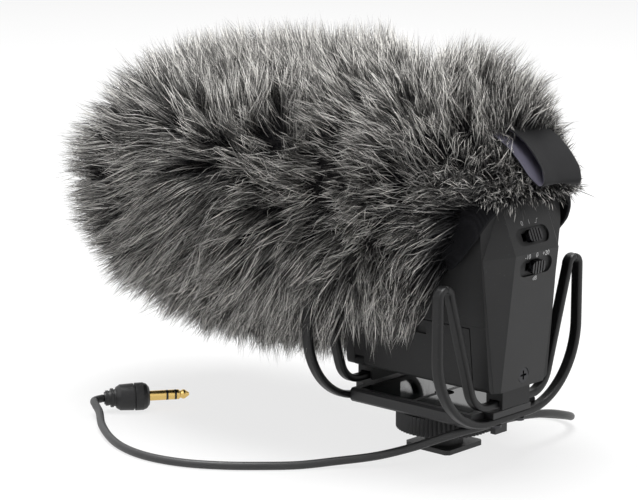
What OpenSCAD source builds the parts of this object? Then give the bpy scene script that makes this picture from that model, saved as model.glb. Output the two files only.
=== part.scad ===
// On-camera shotgun microphone in a long-pile fur windscreen, carried by two lyre springs.
// Millimetres. +Z is up and +Y is the way the microphone points.
// The origin is the centre of the shoe foot's underside.

/* [Clearances] */
// Gap between fixed pieces that seat on each other
seat_gap = 0.05; // [0.02:0.01:0.1]
// Radial gap of a pin or thread that turns
turn_gap = 0.05; // [0.02:0.01:0.1]
// Gap between pieces that move past each other
move_gap = 0.3; // [0.2:0.05:0.5]

/* [Shoe foot and clamp] */
// Side of the square shoe foot
foot_w = 18.6; // [17.8:0.1:18.6]
// Thickness of the shoe foot
foot_t = 1.6; // [1.5:0.1:2]
// Cut across each corner of the foot
foot_corner = 1.2; // [0.6:0.1:2]
// Diameter of the threaded neck above the foot
neck_d = 12.8; // [12:0.2:13.6]
// Height of the gap that takes the shoe's rails
rail_gap = 4.8; // [4.2:0.1:6]
// Outer diameter of the brass bush in the neck
bush_d = 10.2; // [9.8:0.1:10.6]
// Bore of the brass bush, a 3/8 inch thread
bush_bore_d = 8.2; // [7.8:0.1:8.8]
// Length of the brass bush
bush_h = 9; // [6:0.5:9.5]
// Diameter of the knurled lock ring
ring_d = 31.8; // [29:0.2:33]
// Height of the lock ring
ring_h = 6.2; // [5.6:0.1:8]
// Ridges round the lock ring
ring_ridges = 64; // [40:1:80]
// Depth of the ridges
ridge_depth = 0.6; // [0.3:0.1:0.8]
// Diameter of the clamp washer under the ring
washer_d = 22; // [20:0.5:25]
// Thickness of the clamp washer
washer_t = 1; // [0.8:0.1:1.2]
// How far the washer stands below the ring
washer_proud = 0.2; // [0.1:0.05:0.4]
// Outer diameter of the ring's brass nut
nut_d = 17; // [16:0.2:18]

/* [Base bar] */
// Width of the base bar
bar_w = 33.6; // [31:0.2:38]
// Height of the base bar
bar_h = 4.6; // [4.4:0.1:6]
// Gap between the lock ring and the bar
bar_lift = 0.6; // [0.4:0.1:1.5]
// Chamfer along the bar's long edges
bar_chamfer = 0.8; // [0.4:0.1:1]
// Thickness of the gloss inlays
inlay_t = 0.8; // [0.6:0.1:1]
// Border left round the inlays
inlay_border = 2.6; // [2:0.1:4]
// Width of the rib between the inlays
inlay_rib = 1.6; // [1:0.1:3]
// Head diameter of the base screw
base_head_d = 6.4; // [5.6:0.2:7]
// Shank diameter of the base screw
base_shank_d = 3; // [2.4:0.2:3.4]
// Head height of the base screw
base_head_h = 1.5; // [1.2:0.1:1.6]
// Depth of the base screw in the neck
base_grip = 3; // [2:0.2:3]

/* [Lyre springs] */
// Distance between the two lyres
lyre_pitch = 54.6; // [54.4:0.2:58]
// Centre of the two lyres along the microphone
lyre_mid = 0.9; // [0:0.1:2]
// Outer bend radius of a lyre
lyre_r = 27; // [26:0.5:30]
// Half length of a lyre's flat foot
lyre_flat = 10; // [9:0.5:12]
// Thickness of a strand
strand_t = 2.5; // [2:0.1:3]
// Depth of a strand along the microphone
strand_w = 3.6; // [3:0.1:3.8]
// Gap between the two strands
strand_gap = 3; // [2.4:0.1:4]
// Half length of the flat part of a lyre's cradle
cradle_flat = 11.2; // [9:0.2:12]
// Outer bend radius of a lyre's cradle
cradle_r = 10.3; // [8:0.1:12]
// Height of the lyre tips above the lyre's foot
lyre_h = 50.1; // [46:0.1:54]
// Offset of the lyre screws from the middle
lyre_screw_x = 6; // [5:0.5:7]
// Shank diameter of the lyre screws
lyre_shank_d = 1.9; // [1.6:0.1:2.2]
// Head diameter of the lyre screws
lyre_head_d = 3.4; // [3:0.1:3.6]
// Head height of the lyre screws
lyre_head_h = 0.9; // [0.6:0.1:1]

/* [Microphone body] */
// Height of the clips between lyre and body
clip_h = 4.2; // [3.6:0.1:5]
// Half width of a clip
clip_half = 7; // [5:0.5:8]
// Wall of a clip beside the strand
clip_wall = 1.2; // [1:0.1:1.4]
// Half width of the body at its base
base_half = 15; // [14.9:0.1:16]
// Radius of the round top of the body
top_r = 20.5; // [19.5:0.1:20.8]
// Height of the microphone's axis above the body's base
axis_rise = 51.4; // [49:0.2:54]
// Radius of the body's lower corners
corner_r = 2; // [1.9:0.1:2.6]
// Wall of the mouldings
wall = 1.6; // [1.4:0.1:1.8]
// Room behind the battery, up to the rear end of the side mouldings
rear_room = 7.3; // [7.1:0.1:7.9]
// Room ahead of the battery, up to the front end of the battery box
front_room = 4.3; // [4:0.1:4.8]
// How far the upper housing reaches ahead of the battery box
housing_over = 0.5; // [0:0.1:0.5]
// Height of the battery box
box_h = 21.9; // [21.6:0.1:23]

/* [Rear panel] */
// Height of the panel's ridge above the body's base
ridge_rise = 44.9; // [44:0.1:46]
// How far the ridge stands behind the seam
ridge_back = 6.6; // [6.2:0.1:7.4]
// Lean of the panel below the ridge, in degrees
lean_low = 6.5; // [5:0.5:7]
// Lean of the panel above the ridge, in degrees
lean_high = 22; // [18:1:24]
// Half width of the panel's flat face
face_half = 11; // [10.4:0.1:12]
// Angle of the side chamfers, in degrees
chamfer_angle = 38; // [34:1:42]
// Distance of the lower switch below the ridge
level_drop = 4.7; // [4.4:0.1:5.4]
// Distance of the upper switch above the ridge
power_rise = 5; // [4.6:0.1:6]
// Width of a switch recess
recess_w = 16.4; // [15.6:0.2:17.4]
// Height of a switch recess
recess_h = 5.6; // [5.2:0.1:6]
// Depth of a switch recess
recess_depth = 0.9; // [0.7:0.05:1]
// Width of a switch knob
knob_w = 6.8; // [6:0.1:7.4]
// Height of a switch knob
knob_h = 4.2; // [3.6:0.1:4.4]
// How far a knob stands out of the panel
knob_proud = 1.3; // [1:0.1:2]
// Travel of a switch knob to each side
knob_travel = 2.5; // [2:0.1:2.8]
// Height of the rear screw above the body's base
screw_rise = 4; // [3.8:0.1:4.6]
// Head diameter of the rear screw
screw_head_d = 5; // [4.4:0.1:5.2]
// Shank diameter of the rear screw
screw_shank_d = 2.4; // [2:0.1:2.6]

/* [Battery] */
// Length of the battery case
battery_l = 48.5; // [46:0.1:48.6]
// Width of the battery case
battery_w = 26.5; // [25:0.1:26.5]
// Height of the battery case
battery_h = 17.5; // [16.5:0.1:17.6]
// Height of the battery's seat above the body's base
battery_rise = 3.4; // [3.4:0.05:3.6]
// Diameter of the battery's terminals
terminal_d = 5.6; // [5:0.1:6]
// Height of the battery's terminals
terminal_h = 1.8; // [1.4:0.1:1.9]
// Radius of the door's hinge barrel
barrel_r = 1.7; // [1.6:0.05:1.7]
// Diameter of the hinge pin
pin_d = 1.6; // [1.2:0.1:1.8]
// Half height of the battery's snap
snap_half = 5.5; // [4.5:0.5:6.5]
// Half width of the pad behind the battery
pad_half = 9; // [6:0.5:10]
// Length of each ear that holds the hinge pin
ear_l = 3.4; // [2.6:0.1:4.5]

/* [Capsule and tube] */
// Outer radius of the interference tube
tube_r = 10; // [9:0.2:10.4]
// Wall of the interference tube
tube_wall = 1; // [0.8:0.1:1.2]
// Front end of the interference tube
tube_front = 113; // [100:1:116]
// How far the tube reaches into the housing
tube_sunk = 8; // [7.6:0.2:9]
// Slots along the tube
tube_slots = 12; // [6:1:14]
// Radius of the capsule
capsule_r = 6.3; // [5:0.1:7]
// Length of the capsule
capsule_l = 7; // [5:0.5:9]
// Length of the seal round the capsule
seal_l = 5; // [3:0.5:5]
// Distance of the capsule from the tube's rear end
capsule_set = 2; // [1:0.5:4]
// Outer radius of the tube's collar
collar_r = 13; // [12.4:0.2:14]
// Outer radius of the foam windshield
foam_r = 22; // [20:0.5:22]
// How far the foam reaches ahead of the tube
foam_cap = 11; // [9:0.5:12]
// Rounding of the foam's front edge
foam_round = 11; // [6:0.5:12]

/* [Windscreen] */
// Gap between the foam and the windscreen's backing
backing_gap = 0.6; // [0.4:0.1:1]
// Thickness of the knitted backing
backing_t = 1.2; // [0.8:0.1:1.6]
// Radius of the pile's dense body
pile_r = 47.2; // [46.6:0.1:50]
// Lift of the pile above the microphone's axis
pile_lift = 2.6; // [2:0.2:3.4]
// Droop of the pile towards its nose, in degrees
pile_dip = 3.2; // [2:0.1:4]
// Thickness of the pile's outer layer
pile_skin = 2; // [1.6:0.1:2.4]
// How far the pile reaches ahead of its backing
pile_nose = 30.2; // [24:0.2:40]
// Length over which the pile rounds off
pile_taper = 78; // [70:1:100]
// Depth of the parting between sleeve and hood
parting_depth = 3.6; // [2:0.1:5]
// How much slimmer the hood is than the sleeve
hood_step = 2.2; // [1:0.1:3]
// Place of the parting
parting_y = 14; // [8:0.5:16]
// How far the hood reaches behind the side mouldings
hood_over = 12.4; // [11.6:0.2:15.4]
// Height of the hood's lower edge
hood_low = 64.5; // [64.2:0.1:66]
// How far the hood's lower edge climbs along the rear panel
hood_climb = 14; // [12:0.5:16]
// Height of the hem's rear edge
hem_high = 90; // [89:0.5:94]
// Drop of the hem's front part below the microphone's axis
hem_drop = 11; // [9:0.5:12]
// Width of the elastic hem
hem_w = 7; // [5:0.5:9]
// Width of the pull tab
tab_w = 19; // [14:0.5:22]
// Height of the pull tab's root above the microphone's axis
tab_rise = 29.6; // [29:0.2:30.4]
// Length of the pull tab
tab_l = 15.5; // [12:0.5:18]
// Thickness of the folded pull tab
tab_t = 2.4; // [1.8:0.1:3]
// Slope of the pull tab, in degrees
tab_drop = 21; // [17:1:25]

/* [Cable and plug] */
// Diameter of the cable
cable_d = 2.7; // [2.4:0.1:2.8]
// Length of the strain relief outside the body
relief_l = 9.5; // [8:0.1:9.5]
// Diameter of the plug's shaft
plug_d = 3.5; // [3.4:0.01:3.5]
// Length of the plug's shaft
plug_l = 14; // [13.6:0.1:14.4]
// Diameter of the plug's moulded body
plug_body_d = 9.6; // [8.8:0.1:10.4]
// Length of the plug's moulded body
plug_body_l = 11.5; // [10:0.1:11.5]
// Length of the plug's ribbed boot
boot_l = 4; // [3.4:0.1:4]
// Place of the plug's shoulder, left to right
plug_x = -35.4; // [-36:0.1:-34]
// Place of the plug's shoulder, back to front
plug_y = 103.1; // [102:0.1:104]
// Direction of the plug, in degrees from the X axis
plug_turn = -36; // [-38:1:-34]

/* [Hidden] */
$fn = 64;
far = 200;

// Heights of the mount, from the floor up
washer_z = foot_t + rail_gap;
ring_z = washer_z + washer_proud;
ring_top = ring_z + ring_h;
bar_z = ring_top + bar_lift;
bar_top = bar_z + bar_h;
inlay_z = bar_top - inlay_t;
base_head_z = inlay_z - base_head_h - 2 * seat_gap;
base_end_z = bar_z - base_grip;

// The lyres stand on the level of the bar's underside
rear_lyre_y = lyre_mid - lyre_pitch / 2;
front_lyre_y = lyre_mid + lyre_pitch / 2;
lyre_ys = [rear_lyre_y, front_lyre_y];
lyre_bend_z = bar_z + lyre_r;
tip_r = strand_t + strand_gap / 2;
tip_z = bar_z + lyre_h - tip_r;
tip_x = lyre_flat + lyre_r - tip_r;
cradle_z = bar_z + strand_t + strand_gap;
cradle_top = cradle_z + strand_t;
bar_rear = rear_lyre_y + strand_w / 2 + seat_gap;
bar_front = front_lyre_y - strand_w / 2 - seat_gap;
tongue_half = lyre_flat - move_gap;
tongue_z = bar_z + strand_t + seat_gap;
lyre_screw_top = bar_top - 1;

// Ends of the body, set by the battery, which lies midway between the lyres
battery_y = lyre_mid + 0.05 - battery_l / 2;
battery_front = battery_y + battery_l;
seam_y = battery_y - rear_room;
box_front = battery_front + front_room;
front_y = box_front + housing_over;

// Heights of the body
body_z = cradle_top + clip_h;
axis_z = body_z + axis_rise;
split_z = body_z + box_h;
corner_z = body_z + corner_r;
function side_x(z) = base_half + (top_r - base_half) * (z - corner_z) / (axis_z - corner_z);

// Rear panel, switches and what stands behind them
ridge_z = body_z + ridge_rise;
ridge_y = seam_y - ridge_back;
level_z = ridge_z - level_drop;
power_z = ridge_z + power_rise;
level_y = ridge_y + level_drop * tan(lean_low);
power_y = ridge_y + power_rise * tan(lean_high);
screw_z = body_z + screw_rise;
screw_face_y = ridge_y + (ridge_z - screw_z) * tan(lean_low);
screw_head_h = 1.1;
screw_flange = 0.75;
screw_seat_y = seam_y - screw_flange;
screw_end_y = seam_y + 6;
boss_r = screw_shank_d / 2 + 1.9;
stem_w = 3;
stem_h = 2;
stem_l = wall + 2.4;
slot_w = stem_w + 2 * knob_travel + 2 * move_gap;
slot_h = stem_h + 2 * move_gap;
board_y = seam_y + 2.6;
board_t = 1.6;
board_half = 10.4;
board_low = split_z + wall + 2.4;
board_high = power_z + 8;
post_zs = [board_low + 4, board_high - 3.2];
post_r = 2;
post_screw_d = 1.8;
housing_window_low = split_z + wall;
housing_window_high = board_high + 1.2;
window_half = board_half + move_gap;

// Battery and its door
battery_z = body_z + battery_rise;
door_rear = rear_lyre_y + strand_w / 2 + 0.8;
door_front = front_lyre_y - strand_w / 2 - 0.8;
door_top = split_z - 1.2;
hinge_x = -(base_half - barrel_r);
hinge_z = body_z + barrel_r;
barrel_rear = door_rear + ear_l + move_gap;
barrel_front = door_front - ear_l - move_gap;
notch_z = door_top - 3.4;

// Cable gland on the right side of the battery box
gland_y = 0;
gland_z = body_z + 5.6;
gland_x = side_x(gland_z);
gland_r = 3.1;
cable_r = cable_d / 2;

// Capsule and tube
tube_rear = front_y - tube_sunk;
cap_t = 2;
foam_rear = front_y + 0.6;
foam_front = tube_front + foam_cap;
foam_bore = tube_r + 0.1;
foam_end = tube_front + cap_t + 0.3;

// Windscreen, which starts just ahead of the front clip and the body
sleeve_rear = max(front_lyre_y + strand_w / 2 + clip_wall, box_front, front_y) + 2 * move_gap;
backing_r = foam_r + backing_gap;
pile_bore = backing_r + backing_t + seat_gap;
lining_r = max(backing_r, top_r + backing_gap);
hood_bore = lining_r + backing_t + seat_gap;
hood_rear = seam_y - hood_over;
lining_rear = hood_rear + pile_skin + 7;
backing_front = foam_front + backing_gap;
pile_front = backing_front + backing_t + pile_nose;
pile_shoulder = pile_front - pile_taper;
tab_y = hood_rear + 9;
tab_z = axis_z + tab_rise;
// Side view of the opening under the hood, as points along Y and Z
hood_edge = [[sleeve_rear + 1, hood_low], [-8, hood_low], [-20, hood_low + hood_climb],
    [-31, hem_high - 3], [hood_rear - 1, hem_high + 8]];
hem_edge = [[sleeve_rear + 1, axis_z - hem_drop], [-16, axis_z - hem_drop], [-29, hem_high - 8],
    [-41, hem_high]];

// Cable clip under the bar, on the cable's straight run
clip_y = -21;
clip_z = 11.6;
cable_clip_half = 3;

// Route of the cable from the strain relief to the plug, chosen by hand
cable_route = [
    [25.4, 0, 31], [28, 0.3, 30.4], [31.4, 1, 27.6], [33.6, 2, 22], [34.6, 3, 15],
    [35.2, 4, 8.6], [37, 4.5, 3.8], [41, 3, 1.7], [45.6, -1.4, 1.4], [48.6, -7, 1.6],
    [48.4, -13.4, 2.4], [44.4, -18.8, 4], [37, -21.8, 6.6], [27, -22.4, 9.4], [16, -21.7, 11],
    [8, -21.1, 11.5], [4, -21, 11.6], [0, -21, 11.6], [-4, -21, 11.6], [-8, -20.2, 11.4],
    [-12.5, -17, 10.3], [-17.5, -12.2, 8.2],
    [-24, -6.4, 5.6], [-33.5, 0.2, 3.6], [-43, 9, 2.2], [-52.5, 16.8, 1.4], [-61.5, 25.4, 1.4],
    [-69.5, 35, 1.4], [-75.5, 46, 1.4], [-78.2, 58.4, 1.4], [-77, 70.6, 1.4], [-72.6, 82.4, 1.6],
    [-65.6, 94.4, 2.4], [-58.4, 103.4, 3.6], [-54.8, 109.2, 4.4], [-52.2, 112.6, 4.7], [-48.3, 112.5, 4.8]
];
cable_sides = 8;
cable_steps = 2;

// Shared shapes

// A flat outline in X and Z, carried along Y
module along_y(y0, y1) {
    translate([0, y1, 0])
        rotate([90, 0, 0])
            linear_extrude(y1 - y0)
                children();
}

// An outline in Y and Z, carried across X
module across_x(half) {
    rotate([90, 0, 90])
        translate([0, 0, -half])
            linear_extrude(2 * half)
                children();
}

// A profile of radius and Y, turned round the microphone's axis
module round_axis() {
    translate([0, 0, axis_z])
        rotate([-90, 0, 0])
            rotate_extrude()
                children();
}

module rod_y(r, y0, y1, x, z) {
    translate([x, y0, z])
        rotate([-90, 0, 0])
            cylinder(r = r, h = y1 - y0);
}

module rod_x(r, x0, x1, y, z) {
    translate([x0, y, z])
        rotate([0, 90, 0])
            cylinder(r = r, h = x1 - x0);
}

// A box given by two opposite corners
module box(low, high) {
    translate(low)
        cube(high - low);
}

module stadium(w, h) {
    square([w - h, h], center = true);
    for (s = [-1, 1])
        translate([s * (w - h) / 2, 0])
            circle(d = h);
}

function arc(c, r, a0, a1, n) =
    [for (i = [0 : n]) let (a = a0 + (a1 - a0) * i / n) c + r * [cos(a), sin(a)]];

// Shoe foot, neck and clamp

module shoe_foot() {
    half = foot_w / 2;
    cut = half - foot_corner;
    color("dimgray")
        difference() {
            union() {
                linear_extrude(foot_t)
                    polygon([[cut, -half], [half, -cut], [half, cut], [cut, half],
                        [-cut, half], [-half, cut], [-half, -cut], [-cut, -half]]);
                cylinder(d = neck_d, h = bar_z - seat_gap);
            }
            translate([0, 0, -1])
                cylinder(d = bush_d + 2 * seat_gap, h = bush_h + 1 + seat_gap);
            translate([0, 0, base_end_z - move_gap])
                cylinder(d = base_shank_d + 2 * seat_gap, h = far);
        }
}

module thread_bush() {
    color("goldenrod")
        difference() {
            cylinder(d = bush_d, h = bush_h);
            translate([0, 0, -1])
                cylinder(d = bush_bore_d, h = bush_h + 2);
        }
}

module clamp_washer() {
    color("black")
        translate([0, 0, washer_z])
            difference() {
                cylinder(d = washer_d, h = washer_t);
                translate([0, 0, -1])
                    cylinder(d = neck_d + 2 * move_gap, h = washer_t + 2);
            }
}

module lock_ring() {
    pitch = 360 / ring_ridges;
    recess_h = washer_t - washer_proud + move_gap;
    color([0.09, 0.09, 0.09])
        translate([0, 0, ring_z])
            difference() {
                linear_extrude(ring_h)
                    polygon([for (i = [0 : 2 * ring_ridges - 1])
                        let (r = ring_d / 2 - (i % 2) * ridge_depth)
                        r * [cos(i * pitch / 2), sin(i * pitch / 2)]]);
                translate([0, 0, -1])
                    cylinder(d = washer_d + 2 * move_gap, h = recess_h + 1);
                cylinder(d = nut_d + 2 * seat_gap, h = ring_h + 1);
            }
}

module ring_nut() {
    low = ring_z + washer_t - washer_proud + move_gap;
    color("darkgoldenrod")
        translate([0, 0, low])
            difference() {
                cylinder(d = nut_d, h = ring_top - low);
                translate([0, 0, -1])
                    cylinder(d = neck_d + 2 * turn_gap, h = ring_h + 2);
            }
}

// Base bar and what is fixed to it

module bar_outline() {
    w = bar_w / 2;
    c = bar_chamfer;
    polygon([[-w + c, bar_z], [w - c, bar_z], [w, bar_z + c], [w, bar_top - c],
        [w - c, bar_top], [-w + c, bar_top], [-w, bar_top - c], [-w, bar_z + c]]);
}

// Front and rear pockets in the bar's top, smaller by a gap for the inlays
module inlay_pockets(gap) {
    mid = (bar_rear + bar_front) / 2;
    half_w = bar_w / 2 - inlay_border;
    for (span = [[bar_rear + inlay_border, mid - inlay_rib / 2],
            [mid + inlay_rib / 2, bar_front - inlay_border]])
        box([-half_w + gap, span[0] + gap, inlay_z + gap],
            [half_w - gap, span[1] - gap, bar_top - gap]);
}

module base_bar() {
    color([0.12, 0.12, 0.12])
        difference() {
            union() {
                along_y(bar_rear, bar_front)
                    bar_outline();
                for (y = lyre_ys)
                    box([-tongue_half, y - strand_w / 2 - seat_gap, tongue_z],
                        [tongue_half, y + strand_w / 2 + seat_gap, bar_top]);
            }
            translate([0, 0, seat_gap])
                inlay_pockets(0);
            translate([0, 0, bar_z - 1])
                cylinder(d = base_shank_d + 2 * seat_gap, h = bar_h);
            translate([0, 0, base_head_z - seat_gap])
                cylinder(d = base_head_d + 2 * seat_gap, h = bar_h);
            lyre_screw_holes();
        }
}

module lyre_screw_holes() {
    for (y = lyre_ys, s = [-1, 1])
        translate([s * lyre_screw_x, y, bar_z - 1])
            cylinder(d = lyre_shank_d + 2 * seat_gap, h = lyre_screw_top - bar_z + 1 + seat_gap);
}

module bar_inlays() {
    color([0.05, 0.07, 0.06])
        difference() {
            inlay_pockets(seat_gap);
            translate([0, 0, base_head_z])
                cylinder(d = base_head_d + 2 * seat_gap, h = bar_h);
        }
}

module base_screw() {
    color("silver")
        difference() {
            union() {
                translate([0, 0, base_end_z])
                    cylinder(d = base_shank_d, h = base_head_z - base_end_z + 0.1);
                translate([0, 0, base_head_z])
                    cylinder(d = base_head_d, h = base_head_h);
            }
            translate([0, 0, base_head_z + base_head_h / 2])
                cylinder(d = base_shank_d, h = base_head_h, $fn = 6);
        }
}

module cable_clip() {
    top = bar_z - seat_gap;
    half = cable_r + 1.5;
    color([0.1, 0.1, 0.1])
        difference() {
            box([-cable_clip_half, clip_y - half, clip_z - half],
                [cable_clip_half, clip_y + half, top]);
            rod_x(cable_r + 2 * seat_gap, -far, far, clip_y, clip_z);
            box([-far, clip_y - cable_r * 0.6, clip_z - far],
                [far, clip_y + cable_r * 0.6, clip_z]);
        }
}

// Filled U of a given outer radius, open to the top
module u_fill(r) {
    for (s = [-1, 1])
        translate([s * lyre_flat, lyre_bend_z])
            circle(r = r);
    translate([-lyre_flat, lyre_bend_z - r])
        square([2 * lyre_flat, r]);
    translate([-lyre_flat - r, lyre_bend_z])
        square([2 * (lyre_flat + r), far]);
}

module u_band(r) {
    difference() {
        u_fill(r);
        u_fill(r - strand_t);
    }
}

// Angle at which a leg from p leaves the round corner about c
function leg_angle(p, c, r) = atan2(p[1] - c[1], p[0] - c[0]) - acos(r / norm(p - c));

// The inner loop of a lyre: a flat cradle, round corners, and legs that lean out to the tips
module cradle_form(inset) {
    corner = [cradle_flat, cradle_z + cradle_r];
    leg_top = [tip_x - strand_gap / 2 - inset, tip_z];
    bend = cradle_r - inset;
    right = concat(arc(corner, bend, -90, leg_angle(leg_top, corner, bend), 12), [leg_top]);
    polygon(concat(right, [for (i = [len(right) - 1 : -1 : 0]) [-right[i][0], right[i][1]]]));
}

module cradle_band() {
    difference() {
        cradle_form(0);
        cradle_form(strand_t);
    }
}

// One spring: an outer U and an inner cradle that fold into each other at the two tips
module lyre(y) {
    difference() {
        along_y(y - strand_w / 2, y + strand_w / 2) {
            difference() {
                union() {
                    u_band(lyre_r);
                    cradle_band();
                }
                translate([-far, tip_z])
                    square([2 * far, 2 * far]);
            }
            for (s = [-1, 1])
                translate([s * tip_x, tip_z])
                    intersection() {
                        difference() {
                            circle(r = tip_r);
                            circle(r = strand_gap / 2);
                        }
                        translate([-far, -0.01])
                            square([2 * far, far]);
                    }
        }
        lyre_screw_holes();
    }
}

module rear_lyre() {
    color([0.14, 0.14, 0.14])
        lyre(rear_lyre_y);
}

module front_lyre() {
    color([0.14, 0.14, 0.14])
        lyre(front_lyre_y);
}

module lyre_screws() {
    color("silver")
        for (y = lyre_ys, s = [-1, 1])
            translate([s * lyre_screw_x, y, bar_z]) {
                translate([0, 0, -lyre_head_h - seat_gap])
                    cylinder(d = lyre_head_d, h = lyre_head_h);
                translate([0, 0, -lyre_head_h])
                    cylinder(d = lyre_shank_d, h = lyre_screw_top - bar_z + lyre_head_h);
            }
}

// Saddles under the body that straddle the inner strand of each lyre
module lyre_clips() {
    color([0.1, 0.1, 0.1])
        for (y = lyre_ys) {
            inner = strand_w / 2 + move_gap;
            outer = inner + clip_wall;
            difference() {
                box([-clip_half, y - outer, cradle_z], [clip_half, y + outer, body_z - seat_gap]);
                box([-far, y - inner, cradle_z - 1], [far, y + inner, cradle_top + move_gap]);
            }
        }
}

// Body mouldings

// Cross section of the body, drawn in by i
module body_section(i) {
    right = [base_half - corner_r, corner_z];
    left = [corner_r - base_half, corner_z];
    translate([0, axis_z])
        circle(r = top_r - i);
    polygon(concat(arc(right, corner_r - i, -90, 0, 6),
        [[top_r - i, axis_z], [i - top_r, axis_z]],
        arc(left, corner_r - i, 180, 270, 6)));
}

// A level slice of the body's cross section
module body_slice(i, z0, z1) {
    intersection() {
        body_section(i);
        translate([-far, z0])
            square([2 * far, z1 - z0]);
    }
}

module door_opening() {
    box([-far, door_rear - move_gap, hinge_z], [hinge_x + 0.8, door_front + move_gap, door_top + move_gap]);
    rod_y(barrel_r + move_gap, barrel_rear - move_gap, barrel_front + move_gap, hinge_x, hinge_z);
}

// Short round ears that carry the ends of the hinge pin
module hinge_ears() {
    rod_y(barrel_r, door_rear - 1, barrel_rear - move_gap, hinge_x, hinge_z);
    rod_y(barrel_r, barrel_front + move_gap, door_front + 1, hinge_x, hinge_z);
}

module battery_box() {
    rear = seam_y + seat_gap;
    color([0.08, 0.08, 0.08])
        difference() {
            union() {
                difference() {
                    along_y(rear, box_front)
                        body_slice(0, body_z, split_z - seat_gap);
                    along_y(rear + wall, box_front - wall)
                        body_slice(wall, battery_z - seat_gap, split_z + 1);
                    door_opening();
                }
                hinge_ears();
                rod_y(boss_r, rear, battery_y - seat_gap, 0, screw_z);
            }
            rod_y(pin_d / 2 + turn_gap, door_rear - 2, door_front + 2, hinge_x, hinge_z);
            rod_y(screw_shank_d / 2 + seat_gap, rear - 1, screw_end_y + seat_gap, 0, screw_z);
            rod_x(gland_r + seat_gap, gland_x - 2 * wall, far, gland_y, gland_z);
        }
}

module upper_housing() {
    rear = seam_y + seat_gap;
    color([0.08, 0.08, 0.08])
        difference() {
            along_y(rear, front_y)
                body_slice(0, split_z, far);
            along_y(rear + wall, front_y - wall)
                body_slice(wall, split_z + wall, far);
            along_y(rear - 1, rear + wall + 1)
                intersection() {
                    body_slice(2 * wall, housing_window_low, housing_window_high);
                    translate([-window_half, -far])
                        square([2 * window_half, 2 * far]);
                }
            rod_y(collar_r + seat_gap, front_y - wall - 1, front_y + 1, 0, axis_z);
        }
}

// Plan of the rear panel: flat face, side chamfers, then straight forward
module panel_plan(i) {
    half = face_half - i * tan(chamfer_angle / 2);
    run = 20;
    rise = run * tan(chamfer_angle);
    polygon([[-half, i], [half, i], [half + run, i + rise], [half + run, 80],
        [-half - run, 80], [-half - run, i + rise]]);
}

// Outer form of the rear panel, drawn in by i
module panel_form(i) {
    intersection() {
        along_y(-far, seam_y)
            body_section(i);
        for_lean(lean_low, i);
        for_lean(-lean_high, i);
    }
}

module for_lean(lean, i) {
    translate([0, ridge_y, ridge_z])
        rotate([lean, 0, 0])
            translate([0, 0, -far / 2])
                linear_extrude(far)
                    panel_plan(i);
}

// Places its children on the panel's face: -Y points out of the face
module at_power() {
    translate([0, power_y, power_z])
        rotate([-lean_high, 0, 0])
            children();
}

module at_level() {
    translate([0, level_y, level_z])
        rotate([lean_low, 0, 0])
            children();
}

module switch_cut() {
    translate([0, recess_depth, 0])
        rotate([90, 0, 0])
            linear_extrude(5)
                stadium(recess_w, recess_h);
    box([-slot_w / 2, 0, -slot_h / 2], [slot_w / 2, wall + 1.5, slot_h / 2]);
}

module rear_panel() {
    color([0.1, 0.1, 0.1])
        difference() {
            union() {
                difference() {
                    panel_form(0);
                    translate([0, 0.01, 0])
                        panel_form(wall);
                }
                intersection() {
                    panel_form(0);
                    union() {
                        rod_y(screw_head_d / 2 + 1.4, ridge_y, seam_y, 0, screw_z);
                        for (z = post_zs)
                            rod_y(post_r, ridge_y, seam_y, 0, z);
                    }
                }
                for (z = post_zs)
                    rod_y(post_r, seam_y - 1, board_y - seat_gap, 0, z);
            }
            at_power()
                switch_cut();
            at_level()
                switch_cut();
            rod_y(screw_head_d / 2 + seat_gap, -far, screw_seat_y, 0, screw_z);
            rod_y(screw_shank_d / 2 + seat_gap, -far, seam_y + 1, 0, screw_z);
            for (z = post_zs)
                rod_y(post_screw_d / 2 + seat_gap, seam_y - 1.6, board_y + 1, 0, z);
        }
}

module rear_screw() {
    color("gray")
        difference() {
            union() {
                rod_y(screw_head_d / 2, screw_seat_y - screw_head_h, screw_seat_y - seat_gap, 0, screw_z);
                rod_y(screw_shank_d / 2, screw_seat_y - 0.5, screw_end_y, 0, screw_z);
            }
            for (a = [0, 90])
                translate([0, screw_seat_y - screw_head_h, screw_z])
                    rotate([0, a, 0])
                        cube([0.7, 1.6, screw_head_d * 0.6], center = true);
        }
}

module circuit_board() {
    parts_y = board_y + board_t - 0.1;
    color("darkgreen")
        difference() {
            union() {
                box([-board_half, board_y, board_low], [board_half, board_y + board_t, board_high]);
                box([-9, parts_y, level_z - 8], [-2, parts_y + 1.6, level_z - 2]);
                box([2.2, parts_y, level_z - 8], [7, parts_y + 1.2, level_z - 3]);
                for (x = [-8, -3, 3, 8])
                    rod_y(1.6, parts_y, parts_y + 4, x, power_z + 1);
            }
            for (z = post_zs)
                rod_y(post_screw_d / 2 + seat_gap, board_y - 1, board_y + board_t + 1, 0, z);
        }
}

module board_screws() {
    head_y = board_y + board_t + seat_gap;
    color("silver")
        for (z = post_zs) {
            rod_y(post_screw_d / 2, seam_y - 1.4, head_y + 0.5, 0, z);
            rod_y(post_screw_d, head_y, head_y + 1.2, 0, z);
        }
}

// Slide switch behind the panel, from the panel's inside to the circuit board
module switch_block() {
    difference() {
        box([-recess_w / 2 + 1, wall + 1.2, -recess_h / 2], [recess_w / 2 - 1, far, recess_h / 2]);
        box([-slot_w / 2, wall, -slot_h / 2], [slot_w / 2, recess_depth + stem_l + move_gap, slot_h / 2]);
    }
}

module ahead_of_board() {
    intersection() {
        children();
        box([-far, -far, -far], [far, board_y - seat_gap, far]);
    }
}

module power_switch() {
    color("slategray")
        ahead_of_board()
            at_power()
                switch_block();
}

module level_switch() {
    color("slategray")
        ahead_of_board()
            at_level()
                switch_block();
}

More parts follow.
